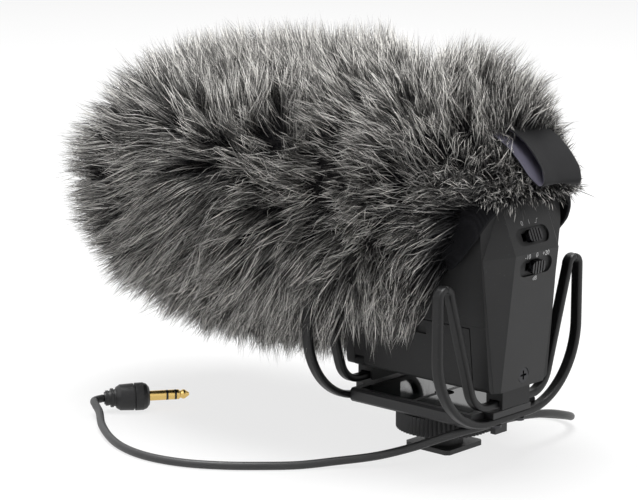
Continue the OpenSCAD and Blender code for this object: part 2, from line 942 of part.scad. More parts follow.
// Ribbed cap on a stem that reaches through the panel into the switch
module switch_knob() {
    back = recess_depth - move_gap;
    ribs = 5;
    rib_pitch = knob_w / ribs;
    rotate([90, 0, 0])
        translate([0, 0, -back])
            linear_extrude(back + knob_proud - 0.4)
                stadium(knob_w, knob_h);
    intersection() {
        rotate([90, 0, 0])
            linear_extrude(knob_proud)
                stadium(knob_w, knob_h);
        for (k = [0 : ribs - 1])
            translate([(k - (ribs - 1) / 2) * rib_pitch, 0, 0])
                cube([rib_pitch * 0.6, far, far], center = true);
    }
    box([-stem_w / 2, 0, -stem_h / 2], [stem_w / 2, recess_depth + stem_l, stem_h / 2]);
}

module power_knob() {
    color([0.03, 0.03, 0.03])
        at_power()
            switch_knob();
}

module level_knob() {
    color([0.03, 0.03, 0.03])
        at_level()
            switch_knob();
}

// Battery, its contacts and its door

module battery() {
    color("darkslategray") {
        box([-battery_w / 2, battery_y, battery_z], [battery_w / 2, battery_front, battery_z + battery_h]);
        for (s = [-1, 1])
            rod_y(terminal_d / 2, battery_front - 0.1, battery_front + terminal_h,
                s * battery_w / 4, battery_z + battery_h / 2);
    }
}

module battery_snap() {
    rear = battery_front + seat_gap;
    front = box_front - wall - seat_gap;
    mid = battery_z + battery_h / 2;
    color("black")
        difference() {
            box([-battery_w / 2 + 0.5, rear, mid - snap_half], [battery_w / 2 - 0.5, front, mid + snap_half]);
            for (s = [-1, 1])
                rod_y(terminal_d / 2 + seat_gap, rear - 1, battery_front + terminal_h + seat_gap,
                    s * battery_w / 4, mid);
        }
}

module battery_pad() {
    color("gray")
        box([-pad_half, seam_y + wall + 2 * seat_gap, screw_z + boss_r + 0.4],
            [pad_half, battery_y - seat_gap, battery_z + battery_h - 1]);
}

module battery_door() {
    notch_w = 4.4;
    color([0.09, 0.09, 0.09])
        difference() {
            union() {
                difference() {
                    along_y(door_rear, door_front)
                        difference() {
                            body_slice(0, hinge_z, door_top);
                            body_section(wall);
                            translate([0, 0])
                                square([far, far]);
                        }
                    for (span = [[door_rear - 1, barrel_rear], [barrel_front, door_front + 1]])
                        box([-far, span[0], hinge_z - 1], [far, span[1], hinge_z + barrel_r + move_gap]);
                }
                rod_y(barrel_r, barrel_rear, barrel_front, hinge_x, hinge_z);
            }
            rod_y(pin_d / 2 + turn_gap, door_rear, door_front, hinge_x, hinge_z);
            translate([-side_x(notch_z), lyre_mid - 4.6, notch_z])
                cube([wall, notch_w, 2.6], center = true);
        }
}

module hinge_pin() {
    color("silver")
        rod_y(pin_d / 2, door_rear - 1.8, door_front + 1.8, hinge_x, hinge_z);
}

// Capsule, interference tube and foam

module capsule() {
    color("silver")
        rod_y(capsule_r, tube_rear + capsule_set, tube_rear + capsule_set + capsule_l, 0, axis_z);
}

module capsule_seal() {
    rear = tube_rear + capsule_set;
    color("black")
        difference() {
            rod_y(tube_r - tube_wall - seat_gap, rear, rear + seal_l, 0, axis_z);
            rod_y(capsule_r + seat_gap, rear - 1, rear + seal_l + 1, 0, axis_z);
        }
}

module tube_collar() {
    flange = front_y - wall - seat_gap;
    color("black")
        difference() {
            union() {
                rod_y(collar_r, flange - 2, front_y + 0.3, 0, axis_z);
                rod_y(collar_r + 2, flange - 2, flange, 0, axis_z);
            }
            rod_y(tube_r + seat_gap, -far, far, 0, axis_z);
        }
}

module interference_tube() {
    slot_pitch = (tube_front - front_y - 10) / tube_slots;
    color([0.2, 0.2, 0.2])
        difference() {
            rod_y(tube_r, tube_rear, tube_front, 0, axis_z);
            rod_y(tube_r - tube_wall, tube_rear - 1, tube_front + 1, 0, axis_z);
            for (k = [0 : tube_slots - 1])
                translate([0, front_y + 6 + (k + 0.5) * slot_pitch, axis_z])
                    cube([far, slot_pitch * 0.6, 2], center = true);
        }
}

module tube_grille() {
    front = tube_front + seat_gap;
    color("gray")
        difference() {
            rod_y(tube_r, front, front + cap_t, 0, axis_z);
            for (ring = [[0, 1], [3.4, 6], [6.8, 12]], k = [0 : ring[1] - 1])
                let (a = 360 * k / ring[1])
                    rod_y(1.1, front - 1, front + cap_t + 1, ring[0] * cos(a), axis_z + ring[0] * sin(a));
        }
}

module foam_windshield() {
    color([0.05, 0.05, 0.05])
        round_axis()
            polygon(concat([[foam_bore, foam_rear], [foam_r, foam_rear]],
                arc([foam_r - foam_round, foam_front - foam_round], foam_round, 0, 90, 10),
                [[0, foam_front], [0, foam_end], [foam_bore, foam_end]]));
}

// Windscreen

module backing_sleeve() {
    out_r = backing_r + backing_t;
    out_front = backing_front + backing_t;
    bend = foam_round;
    color([0.07, 0.07, 0.08])
        round_axis()
            polygon(concat([[backing_r, sleeve_rear]],
                [[out_r, sleeve_rear]],
                arc([out_r - bend, out_front - bend], bend, 0, 90, 10),
                [[0, out_front], [0, backing_front]],
                arc([backing_r - bend, backing_front - bend], bend, 90, 0, 10)));
}

// Keeps what lies above a side-view edge that runs from front to rear
module above(edge, lift) {
    intersection() {
        children();
        across_x(far)
            polygon(concat([for (p = edge) p + [0, lift]],
                [[edge[len(edge) - 1][0] - far, edge[len(edge) - 1][1] + lift], [-2 * far, far], [far, far]]));
    }
}

module lining_tube(rear) {
    round_axis()
        polygon([[lining_r, rear], [lining_r + backing_t, rear],
            [lining_r + backing_t, sleeve_rear - seat_gap], [lining_r, sleeve_rear - seat_gap]]);
}

module hood_lining() {
    color([0.06, 0.06, 0.06])
        above(hem_edge, hem_w)
            lining_tube(lining_rear + hem_w);
}

// The hem runs along both lower edges and round the open rear end
module elastic_hem() {
    color([0.04, 0.04, 0.04])
        difference() {
            above(hem_edge, 0)
                lining_tube(lining_rear);
            above(hem_edge, hem_w - seat_gap)
                box([-far, lining_rear + hem_w - seat_gap, -far], [far, far, far]);
        }
}

// Turns a side profile about the pile's own axis, which starts above the microphone's axis
// at the sleeve's rear end and may droop towards the front
module round_pile(dip) {
    translate([0, sleeve_rear, axis_z + pile_lift])
        rotate([-90 - dip, 0, 0])
            rotate_extrude()
                translate([0, -sleeve_rear])
                    children();
}

// Side profile of the sleeve's front end: a half ellipse
function dome(r, y0, y1, n) =
    [for (i = [0 : n]) [i == n ? 0 : r * cos(90 * i / n), y0 + (y1 - y0) * sin(90 * i / n)]];

function turned(points) = [for (i = [len(points) - 1 : -1 : 0]) points[i]];

// The pile's body, smaller all round by a step, from a place along the microphone to the nose
module pile_form(step, rear) {
    intersection() {
        round_pile(pile_dip)
            polygon(concat([[0, sleeve_rear - 10], [pile_r - step, sleeve_rear - 10]],
                dome(pile_r - step, pile_shoulder, pile_front - step, 14)));
        box([-far, rear, -far], [far, far, far]);
    }
}

module fur_sleeve() {
    color([0.3, 0.3, 0.31])
        difference() {
            pile_form(0, sleeve_rear);
            pile_form(pile_skin, sleeve_rear + pile_skin);
            rod_y(pile_bore, sleeve_rear - 1, sleeve_rear + pile_skin + 1, 0, axis_z);
        }
}

// Outer radius of the hood behind the parting, falling to the hem at its rear
function hood_r(r, rear, y) = hood_bore + (r - hood_bore) * pow(max(0, 1 - pow(y / rear, 2)), 1.4);

function hood_path(r, rear, n) =
    [for (i = [0 : n]) let (y = rear * sin(90 * i / n)) [hood_r(r, rear, y), y]];

// Side profile of the hood from the sleeve to its rear end, smaller all round by a step
function hood_side(step) = concat(
    [[pile_r - step, sleeve_rear - seat_gap], [pile_r - parting_depth - step, parting_y]],
    hood_path(pile_r - hood_step - step, hood_rear + step, 12));

module fur_hood() {
    color([0.3, 0.3, 0.31])
        difference() {
            above(hood_edge, 0)
                round_pile(0)
                    polygon(concat(hood_side(0), turned(hood_side(pile_skin))));
            tab_form(2 * seat_gap);
        }
}

// Folded ribbon, larger by a gap where it passes through the hood
module tab_form(gap) {
    translate([0, tab_y, tab_z])
        rotate([tab_drop, 0, 0])
            rotate([90, 0, 90])
                translate([0, 0, -tab_w / 2 - gap])
                    linear_extrude(tab_w + 2 * gap)
                        translate([-tab_l / 2 + tab_t / 4, 0])
                            stadium(tab_l + 2 * gap, tab_t + 2 * gap);
}

module pull_tab() {
    color([0.08, 0.08, 0.1])
        tab_form(0);
}

// Cable and plug

module cable_gland() {
    inner = gland_x - wall;
    color([0.06, 0.06, 0.06])
        translate([0, gland_y, gland_z])
            rotate([0, 90, 0])
                difference() {
                    union() {
                        translate([0, 0, inner])
                            cylinder(r = gland_r, h = gland_x - inner + 1);
                        translate([0, 0, gland_x + 0.8])
                            cylinder(r1 = gland_r, r2 = cable_r + 0.7, h = relief_l - 0.8);
                    }
                    cylinder(r = cable_r + seat_gap, h = far);
                }
}

function cat(a, b, c, d, t) =
    0.5 * (2 * b + (c - a) * t + (2 * a - 5 * b + 4 * c - d) * t * t + (3 * b - a - 3 * c + d) * t * t * t);

// The route's points with extra points between them on a smooth curve
function smooth(p, n) = let (last = len(p) - 1)
    concat([for (i = [0 : last - 1], k = [0 : n - 1])
        cat(p[max(i - 1, 0)], p[i], p[i + 1], p[min(i + 2, last)], k / n)], [p[last]]);

function unit(v) = v / norm(v);

// A tube of flat facets along a path, closed at both ends
module tube(path, r, sides) {
    last = len(path) - 1;
    rings = [for (i = [0 : last])
        let (t = unit(path[min(i + 1, last)] - path[max(i - 1, 0)]),
            u = unit(cross(t, abs(t[2]) > 0.8 ? [1, 0, 0] : [0, 0, 1])),
            v = cross(t, u))
        [for (k = [0 : sides - 1]) path[i] + r * (cos(360 * k / sides) * u + sin(360 * k / sides) * v)]];
    points = [for (ring = rings, p = ring) p];
    walls = [for (i = [0 : last - 1], k = [0 : sides - 1])
        let (a = i * sides + k, b = i * sides + (k + 1) % sides)
        each [[a, a + sides, b], [b, a + sides, b + sides]]];
    start = [for (k = [1 : sides - 2]) [0, k, k + 1]];
    end = [for (k = [1 : sides - 2]) [last * sides, last * sides + k + 1, last * sides + k]];
    polyhedron(points, concat(walls, start, end));
}

module cable() {
    color([0.13, 0.13, 0.13])
        tube(smooth(cable_route, cable_steps), cable_r, cable_sides);
}

// Frame of the plug: +X runs from the shoulder to the tip
module at_plug() {
    translate([plug_x, plug_y, plug_body_d / 2])
        rotate([0, 0, plug_turn])
            rotate([0, 90, 0])
                children();
}

plug_marks = [0.42, 0.47, 0.63, 0.68];

module plug_boot() {
    rear = -plug_body_l - boot_l;
    ribs = 2;
    pitch = (boot_l - 0.6) / ribs;
    root_r = plug_body_d * 0.36;
    end_r = cable_r + 0.8;
    color([0.05, 0.05, 0.05])
        at_plug()
            difference() {
                union() {
                    translate([0, 0, rear])
                        cylinder(r1 = end_r, r2 = root_r - 0.4, h = boot_l - seat_gap);
                    for (k = [0 : ribs - 1])
                        translate([0, 0, rear + (k + 0.25) * pitch])
                            cylinder(r = end_r + 0.5 + (root_r - end_r) * k / ribs, h = pitch * 0.55);
                }
                translate([0, 0, rear - 1])
                    cylinder(r = cable_r + seat_gap, h = boot_l + 2);
            }
}

module plug_body() {
    r = plug_body_d / 2;
    seam = -plug_body_l * 0.45;
    color([0.05, 0.05, 0.05])
        at_plug()
            rotate_extrude()
                polygon([[0, -plug_body_l], [r - 1.2, -plug_body_l], [r - 0.3, -plug_body_l + 1.4],
                    [r - 0.1, seam - 0.3], [r - 0.6, seam - 0.2], [r - 0.6, seam + 0.2], [r, seam + 0.3],
                    [r, -2.2], [r - 0.5, -0.9], [r - 1.6, 0], [0, 0]]);
}

module plug_length(from, to) {
    at_plug()
        translate([0, 0, plug_l * from + seat_gap])
            cylinder(d = plug_d, h = plug_l * (to - from) - seat_gap);
}

module plug_sleeve() {
    color("gold")
        plug_length(0, plug_marks[0]);
}

module plug_ring() {
    color("gold")
        plug_length(plug_marks[1], plug_marks[2]);
}

module plug_tip() {
    r = plug_d / 2;
    low = plug_l * plug_marks[3] + seat_gap;
    waist = plug_l - 3;
    color("gold")
        at_plug()
            rotate_extrude()
                polygon([[0, low], [r, low], [r, waist - 0.7], [r * 0.72, waist], [r * 0.96, waist + 0.9],
                    [r * 0.9, waist + 1.5], [r * 0.3, plug_l], [0, plug_l]]);
}

module plug_insulators() {
    color("black")
        for (k = [0, 2])
            plug_length(plug_marks[k], plug_marks[k + 1]);
}

shoe_foot();
thread_bush();
clamp_washer();
lock_ring();
ring_nut();
base_bar();
bar_inlays();
base_screw();
cable_clip();
rear_lyre();
front_lyre();
lyre_screws();
lyre_clips();
battery_box();
upper_housing();
rear_panel();
rear_screw();
circuit_board();
board_screws();
power_switch();
level_switch();
power_knob();
level_knob();
battery();
battery_snap();
battery_pad();
battery_door();
hinge_pin();
capsule();
capsule_seal();
tube_collar();
interference_tube();
tube_grille();
foam_windshield();
backing_sleeve();
hood_lining();
elastic_hem();
fur_sleeve();
fur_hood();
pull_tab();
cable_gland();
cable();
plug_boot();
plug_body();
plug_sleeve();
plug_ring();
plug_tip();
plug_insulators();
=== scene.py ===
import math

import bmesh
import bpy
import numpy as np
from mathutils import Matrix, Vector


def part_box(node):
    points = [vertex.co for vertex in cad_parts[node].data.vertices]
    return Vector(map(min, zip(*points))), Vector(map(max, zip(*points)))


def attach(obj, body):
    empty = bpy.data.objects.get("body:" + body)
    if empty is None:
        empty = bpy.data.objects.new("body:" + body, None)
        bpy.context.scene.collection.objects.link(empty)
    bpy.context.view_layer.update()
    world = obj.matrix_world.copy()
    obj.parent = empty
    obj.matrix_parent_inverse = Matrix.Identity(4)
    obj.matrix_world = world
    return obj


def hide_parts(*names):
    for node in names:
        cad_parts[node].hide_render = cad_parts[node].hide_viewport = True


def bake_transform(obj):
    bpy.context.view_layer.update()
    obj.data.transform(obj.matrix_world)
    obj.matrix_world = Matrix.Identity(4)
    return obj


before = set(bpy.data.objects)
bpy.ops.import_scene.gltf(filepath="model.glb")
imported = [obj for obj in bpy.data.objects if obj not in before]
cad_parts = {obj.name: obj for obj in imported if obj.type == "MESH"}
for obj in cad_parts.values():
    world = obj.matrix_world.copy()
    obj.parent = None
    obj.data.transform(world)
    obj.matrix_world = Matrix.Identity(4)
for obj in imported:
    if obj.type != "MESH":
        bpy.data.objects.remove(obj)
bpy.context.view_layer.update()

# Camera: a long lens behind the microphone's left shoulder and a little above it, fitted
# to the shoe foot, the bar and the two springs in the photograph.
def placed(name, data):
    """A new object at the origin that shows that data."""
    piece = bpy.data.objects.new(name, data)
    bpy.context.collection.objects.link(piece)
    return piece


focal_pixels = 2503
photo_width = 638
camera_down = 12.082
camera_heading = -47.673
camera_data = bpy.data.cameras.new("photo_camera")
camera_data.sensor_width = 36
camera_data.lens = camera_data.sensor_width * focal_pixels / photo_width
camera_data.clip_start = 0.05
camera_data.clip_end = 20
camera = placed("photo_camera", camera_data)
camera.location = (-0.6146, -0.5041, 0.2356)
camera.rotation_euler = (math.radians(90 - camera_down), 0, math.radians(camera_heading))
bpy.context.scene.camera = camera
bpy.context.scene.view_settings.view_transform = "Standard"


# Cable: a thin round lead in a dark rubber jacket. It drops from the strain relief on the
# right side, turns on the floor, runs through the clip under the bar and lies out to the plug.
def shape_piece(name, points, faces, smooth=True):
    """An object at the origin from points and faces, with every face turned outwards."""
    mesh = bpy.data.meshes.new(name)
    corners = np.asarray(points, float).reshape(-1, 3).tolist()
    mesh.from_pydata(corners, [], [list(map(int, face)) for face in faces])
    form = bmesh.new()
    form.from_mesh(mesh)
    bmesh.ops.recalc_face_normals(form, faces=form.faces)
    form.to_mesh(mesh)
    form.free()
    mesh.polygons.foreach_set("use_smooth", np.full(len(mesh.polygons), smooth))
    mesh.update()
    return placed(name, mesh)


def ring_faces(rows, columns):
    """Faces of a grid of rows by columns points whose last column joins its first."""
    r, c = np.meshgrid(np.arange(rows - 1), np.arange(columns), indexing="ij")
    n = (c + 1) % columns
    corners = [r * columns + c, r * columns + n, (r + 1) * columns + n, (r + 1) * columns + c]
    return np.stack(corners, -1).reshape(-1, 4).tolist()


def smooth_path(points, steps):
    """A cubic curve through every point; each point's slope is half the step between its neighbours."""
    p = np.asarray(points, float)
    p = np.vstack([p[:1], p, p[-1:]])
    t = (np.arange(steps) / steps)[None, :, None]
    a, b, c, d = (p[i:len(p) - 3 + i, None, :] for i in range(4))
    curve = 0.5 * (2 * b + (c - a) * t + (2 * a - 5 * b + 4 * c - d) * t**2
                   + (3 * b - a - 3 * c + d) * t**3)
    return np.vstack([curve.reshape(-1, 3), p[-1:]])


def full_turn(count):
    """That many angles, evenly spaced once round."""
    return 2 * np.pi * np.arange(count) / count


def unit(vectors):
    """Vectors of the same heading and of length one."""
    return vectors / np.linalg.norm(vectors, axis=1, keepdims=True)


def carried(name, path, level, outline):
    """An outline carried along a path: its first number goes along level, its second across both."""
    tangent = unit(np.gradient(path, axis=0))
    side = unit(level - tangent * (level * tangent).sum(1, keepdims=True))
    over = np.cross(side, tangent)
    rings = path[:, None] + outline[..., :1] * side[:, None] + outline[..., 1:] * over[:, None]
    columns = outline.shape[-2]
    faces = ring_faces(len(path), columns)
    faces += [range(columns), range((len(path) - 1) * columns, len(path) * columns)]
    return shape_piece(name, rings, faces)


cable_diameter = 0.0027
cable_route_mm = [
    (25.4, 0, 31), (28, 0.3, 30.4), (31.4, 1, 27.6), (33.6, 2, 22), (34.6, 3, 15),
    (35.2, 4, 8.6), (37, 4.5, 3.8), (41, 3, 1.7), (45.6, -1.4, 1.4), (48.6, -7, 1.6),
    (48.4, -13.4, 2.4), (44.4, -18.8, 4), (37, -21.8, 6.6), (27, -22.4, 9.4), (16, -21.7, 11),
    (8, -21.1, 11.5), (4, -21, 11.6), (0, -21, 11.6), (-4, -21, 11.6), (-8, -20.2, 11.4),
    (-12.5, -17, 10.3), (-17.5, -12.2, 8.2), (-24, -6.4, 5.6), (-33.5, 0.2, 3.6), (-43, 9, 2.2),
    (-52.5, 16.8, 1.4), (-61.5, 25.4, 1.4), (-69.5, 35, 1.4), (-75.5, 46, 1.4), (-78.2, 58.4, 1.4),
    (-77, 70.6, 1.4), (-72.6, 82.4, 1.6), (-65.6, 94.4, 2.4), (-58.4, 103.4, 3.6), (-54.8, 109.2, 4.4),
    (-52.2, 112.6, 4.7), (-48.3, 112.5, 4.8)]
cable_path = smooth_path(cable_route_mm, 8) / 1000
cable_turn = full_turn(16)
cable_outline = cable_diameter / 2 * np.stack([np.cos(cable_turn), np.sin(cable_turn)], -1)[None]
steep_share = 0.8
cable_steep = np.abs(unit(np.gradient(cable_path, axis=0))[:, 2:]) > steep_share
cable_level = np.where(cable_steep, [[0, 1.0, 0]], [[0, 0, 1.0]])
cable = carried("cable_lead", cable_path, cable_level, cable_outline)


def plain_material(name):
    """A node material: the material, its node tree and its Principled shader."""
    material = bpy.data.materials.new(name)
    material.use_nodes = True
    return material, material.node_tree, material.node_tree.nodes["Principled BSDF"]


def feed(tree, node, inputs):
    """Gives each named or numbered input of a node, or of a new node of that kind, its number, colour or
    link; returns the outputs."""
    node = tree.nodes.new("ShaderNode" + node) if isinstance(node, str) else node
    for label, value in inputs.items():
        if isinstance(value, bpy.types.NodeSocket):
            tree.links.new(value, node.inputs[label])
        else:
            node.inputs[label].default_value = value
    return node.outputs


def maths(tree, operation, *values, kind="ShaderNodeMath"):
    """A maths node on sockets and numbers, in their order; returns its result."""
    node = tree.nodes.new(kind)
    node.operation = operation
    return feed(tree, node, dict(enumerate(values)))[0]


def on_object(tree, kind, sizes):
    """A texture of that kind and those sizes on Object coordinates; returns its outputs."""
    place = tree.nodes.new("ShaderNodeTexCoord").outputs["Object"]
    return feed(tree, kind, {"Vector": place, **sizes})


def bump_of(tree, height, depth):
    """A bump of that depth in metres from a height; returns the normal."""
    return feed(tree, "Bump", {"Height": height, "Distance": depth})["Normal"]


# Moulded grain: fine speckle for the bump, slow handling patches that shift colour and gloss,
# and sparse pale dust.
grain = bpy.data.node_groups.new("moulded_grain", "ShaderNodeTree")
for side, labels in (("INPUT", ("Colour", "Shift", "Grain", "Gloss", "Gloss shift", "Dust")),
                     ("OUTPUT", ("Colour", "Roughness", "Height"))):
    for label in labels:
        kind = "NodeSocketColor" if label == "Colour" else "NodeSocketFloat"
        grain.interface.new_socket(label, in_out=side, socket_type=kind)
given = grain.nodes.new("NodeGroupInput").outputs
speckle = on_object(grain, "TexNoise", {"Scale": given["Grain"], "Detail": 2})["Fac"]
patch = on_object(grain, "TexNoise", {"Scale": 90, "Detail": 5})["Fac"]
specks = on_object(grain, "TexNoise", {"Scale": 1400, "Detail": 1})["Fac"]
tint = feed(grain, "MapRange", {
    "Value": patch, "From Min": 0.3, "From Max": 0.7,
    "To Min": maths(grain, "SUBTRACT", 1, given["Shift"]),
    "To Max": maths(grain, "ADD", 1, given["Shift"])})["Result"]
scaled = grain.nodes.new("ShaderNodeVectorMath")
scaled.operation = "SCALE"
tinted = feed(grain, scaled, {0: given["Colour"], "Scale": tint})["Vector"]
speck_mask = feed(grain, "MapRange", {
    "Value": specks, "From Min": 0.70, "From Max": 0.78})["Result"]
dust = maths(grain, "MULTIPLY", speck_mask, given["Dust"])
feed(grain, grain.nodes.new("NodeGroupOutput"), {
    "Colour": maths(grain, "ADD", tinted, dust, kind="ShaderNodeVectorMath"),
    "Roughness": maths(grain, "MULTIPLY_ADD", patch, given["Gloss shift"], given["Gloss"]),
    "Height": speckle})


def grained(name, colour, shift=0.25, scale=4000, gloss=0.4, gloss_shift=0.12, depth=0.00003,
            specular=0.5, metallic=0.0, dust=0.02):
    """A moulded or machined surface: the grain group feeds colour, roughness and a fine bump."""
    material, tree, shader = plain_material(name)
    group = tree.nodes.new("ShaderNodeGroup")
    group.node_tree = grain
    made = feed(tree, group, {"Colour": (*colour, 1), "Shift": shift, "Grain": scale, "Gloss": gloss,
                              "Gloss shift": gloss_shift, "Dust": dust})
    feed(tree, shader, {"Base Color": made["Colour"], "Roughness": made["Roughness"],
                        "Normal": bump_of(tree, made["Height"], depth),
                        "Specular IOR Level": specular, "Metallic": metallic})
    return material


def finish_nodes(material, *names):
    """Gives CAD nodes this material."""
    for name in names:
        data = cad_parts[name].data
        data.materials.clear()
        data.materials.append(material)


jacket = grained("cable_jacket", (0.030, 0.030, 0.031), shift=0.2, scale=2500, depth=0.00004)
cable.data.materials.append(jacket)
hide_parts("cable")
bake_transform(cable)

# Plug: a moulded black body with a ribbed boot, and a gold-plated stereo shaft whose three
# contacts are parted by black rings.
moulded_rubber = grained("moulded_rubber", (0.010, 0.010, 0.011), gloss=0.42, depth=0.00004)
gold_plate = grained("gold_plate", (0.80, 0.56, 0.20), shift=0.08, gloss=0.16, depth=0.000004,
                     metallic=1.0, dust=0)
black_ring = grained("black_ring", (0.010, 0.010, 0.010), gloss=0.3)
finish_nodes(moulded_rubber, "plug_boot", "plug_body", "cable_gland", "capsule_seal", "clamp_washer")
finish_nodes(gold_plate, "plug_sleeve", "plug_ring", "plug_tip")
finish_nodes(black_ring, "plug_insulators")

# Shoe foot and clamp: a square black foot on a neck with a brass bush, and a knurled lock ring
# on a brass nut that screws down on a soft washer to grip the shoe's rails.
foot_black = grained("foot_black", (0.010, 0.010, 0.011), gloss=0.36, depth=0.00004)
knurl_black = grained("knurl_black", (0.011, 0.011, 0.012), gloss=0.42, depth=0.00005)
bare_brass = grained("bare_brass", (0.62, 0.44, 0.18), shift=0.12, gloss=0.26, depth=0.00001, metallic=1.0)
finish_nodes(foot_black, "shoe_foot")
finish_nodes(knurl_black, "lock_ring")
finish_nodes(bare_brass, "thread_bush", "ring_nut")

# Base bar: a black moulding that carries the two springs, with two polished inlays on top that
# mirror the white room, a screw into the neck and a clip for the cable underneath.
bar_black = grained("bar_black", (0.011, 0.011, 0.012), gloss=0.4, depth=0.00005)
inlay_gloss = grained("inlay_gloss", (0.010, 0.016, 0.015), shift=0.1, gloss=0.04, gloss_shift=0.05,
                      depth=0.000003)
blued_steel = grained("blued_steel", (0.055, 0.055, 0.058), shift=0.2, gloss=0.3, depth=0.00001,
                      metallic=1.0)
finish_nodes(bar_black, "base_bar", "cable_clip")
finish_nodes(inlay_gloss, "bar_inlays")
finish_nodes(blued_steel, "base_screw", "lyre_screws", "board_screws", "rear_screw")

# Lyre springs: each is one moulding of flexible black plastic, an outer U screwed to the bar and
# an inner cradle that holds the body, which fold into each other at the two tips. The outer and
# the inner half are separate pieces.
strand_thick = 2.5
strand_deep = 3.6
lyre_flat = 10.0
lyre_radius = 27.0
lyre_bend = lyre_radius - strand_thick / 2
bar_underside = 13.4
tip_level = 59.5
tip_out = 33.0
tip_bend = 2.75
cradle_flat = 11.2
cradle_radius = 10.3
cradle_bend = cradle_radius - strand_thick / 2
cradle_underside = 18.9
lyre_places = (-26.4, 28.2)


def arc(middle, radius, first, last, count):
    """Points round a middle in X and Z, from the first angle to the last in degrees."""
    a = np.radians(np.linspace(first, last, count))[:, None]
    return np.asarray(middle) + radius * np.hstack([np.cos(a), np.sin(a)])


def both_sides(right):
    """A path from the right tip down to the middle, and on up to the left tip as its mirror."""
    return np.vstack([right, right[::-1] * [-1, 1]])


lyre_middle = np.array([lyre_flat, bar_underside + lyre_radius])
lyre_rise = np.linspace(tip_level - 2, lyre_middle[1] + 1, 8)
outer_half = both_sides(np.vstack([
    arc((tip_out, tip_level), tip_bend, 90, 0, 9),
    np.stack([np.full(8, lyre_flat + lyre_bend), lyre_rise], -1),
    arc(lyre_middle, lyre_bend, 0, -90, 28),
    np.stack([np.linspace(lyre_flat - 1.5, 0.8, 6), np.full(6, bar_underside + strand_thick / 2)], -1)]))
corner = np.array([cradle_flat, cradle_underside + cradle_radius])
leg_top = np.array([tip_out - tip_bend, tip_level])
leg = leg_top - corner
leg_angle = math.degrees(math.atan2(leg[1], leg[0]) - math.acos(cradle_bend / np.linalg.norm(leg)))
leg_foot = arc(corner, cradle_bend, leg_angle, leg_angle, 1)[0]
cradle_half = both_sides(np.vstack([
    arc((tip_out, tip_level), tip_bend, 90, 180, 9),
    leg_top + (leg_foot - leg_top) * np.linspace(0.06, 0.96, 16)[:, None],
    arc(corner, cradle_bend, leg_angle, -90, 16),
    np.stack([np.linspace(cradle_flat - 1.5, 0.8, 6),
              np.full(6, cradle_underside + strand_thick / 2)], -1)]))
strand_turn = full_turn(28)
corner_power = 0.55
groove_deep = 0.10
groove_wide = 0.28
tip_slim = 0.12


def strand_outline(count):
    """A rounded oblong, one for each point of a path, with a shallow groove down each broad face; it
    thins towards the path's two ends."""
    squared = np.sign(np.cos(strand_turn)) * np.abs(np.cos(strand_turn))**corner_power
    raised = np.sign(np.sin(strand_turn)) * np.abs(np.sin(strand_turn))**corner_power
    groove = 1 - groove_deep * np.exp(-(squared / groove_wide)**2)
    thin = 1 - tip_slim * np.abs(np.linspace(-1, 1, count))**3
    deep = np.broadcast_to(squared * strand_deep / 2, (count, len(strand_turn)))
    return np.stack([deep, thin[:, None] * (raised * groove * strand_thick / 2)[None]], -1)


spring_black = grained("spring_black", (0.008, 0.008, 0.0085), shift=0.2, gloss=0.3, specular=0.3)


def spring_strand(name, half, at):
    """One half of a spring: the rounded oblong carried round a path that stands at a place on the bar."""
    path = np.stack([half[:, 0], np.full(len(half), at), half[:, 1]], -1) / 1000
    piece = carried(name, path, np.array([[0, 1.0, 0]]), strand_outline(len(path)) / 1000)
    piece.data.materials.append(spring_black)
    return piece


for name, at in zip(("rear", "front"), lyre_places):
    outer = spring_strand(f"{name}_spring_outer", outer_half, at)
    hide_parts(f"{name}_lyre")
    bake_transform(outer)
    cradle = spring_strand(f"{name}_spring_cradle", cradle_half, at)
    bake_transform(cradle)

# Body: a battery box and an upper housing of black plastic with a fine satin grain, closed at the
# rear by a leaning panel with chamfered sides, and clips that hold the springs' cradles.
body_satin = grained("body_satin", (0.0125, 0.0125, 0.013), shift=0.18, scale=5200, gloss=0.46,
                     gloss_shift=0.1, depth=0.00006, specular=0.3)
panel_satin = grained("panel_satin", (0.019, 0.019, 0.0195), shift=0.15, scale=5200, gloss=0.44,
                      gloss_shift=0.1, depth=0.00006, specular=0.32)
finish_nodes(body_satin, "battery_box", "upper_housing", "battery_door", "lyre_clips")
finish_nodes(panel_satin, "rear_panel")

# Switches: two slide switches set in stadium recesses of the panel, with ribbed knobs of polished
# black plastic that slide across on their bodies.
switch_gloss = grained("switch_gloss", (0.004, 0.004, 0.005), shift=0.1, gloss=0.07, gloss_shift=0.05,
                       depth=0.000004)
switch_black = grained("switch_black", (0.004, 0.004, 0.004), gloss=0.12, gloss_shift=0.04, depth=0.00001)
finish_nodes(switch_gloss, "power_knob", "level_knob")
finish_nodes(switch_black, "power_switch", "level_switch")

# Panel marks: plain numbers, an on-off pair and a slope sign beside the switches, a thin film of
# pale grey ink printed on the panel.
ridge_place = Vector((0, -0.0372, 0.0705))
upper_lean = 22
lower_lean = -6.5
ink_thick = 0.00002
letter_scale = 1.4


def ramp_of(tree, value, steps):
    """A colour ramp with those places and colours; returns its colour at a value."""
    ramp = tree.nodes.new("ShaderNodeValToRGB")
    elements = ramp.color_ramp.elements
    while len(elements) < len(steps):
        elements.new(0.5)
    for element, (place, colour) in zip(elements, steps):
        element.position = place
        element.color = (*colour, 1)
    return feed(tree, ramp, {"Fac": value})["Color"]


mark_grey, tree, shader = plain_material("mark_grey")
worn = on_object(tree, "TexNoise", {"Scale": 3000})["Fac"]
ink = ramp_of(tree, worn, ((0, (0.38, 0.38, 0.38)), (1, (0.66, 0.66, 0.66))))
feed(tree, shader, {"Base Color": ink, "Roughness": 0.6})


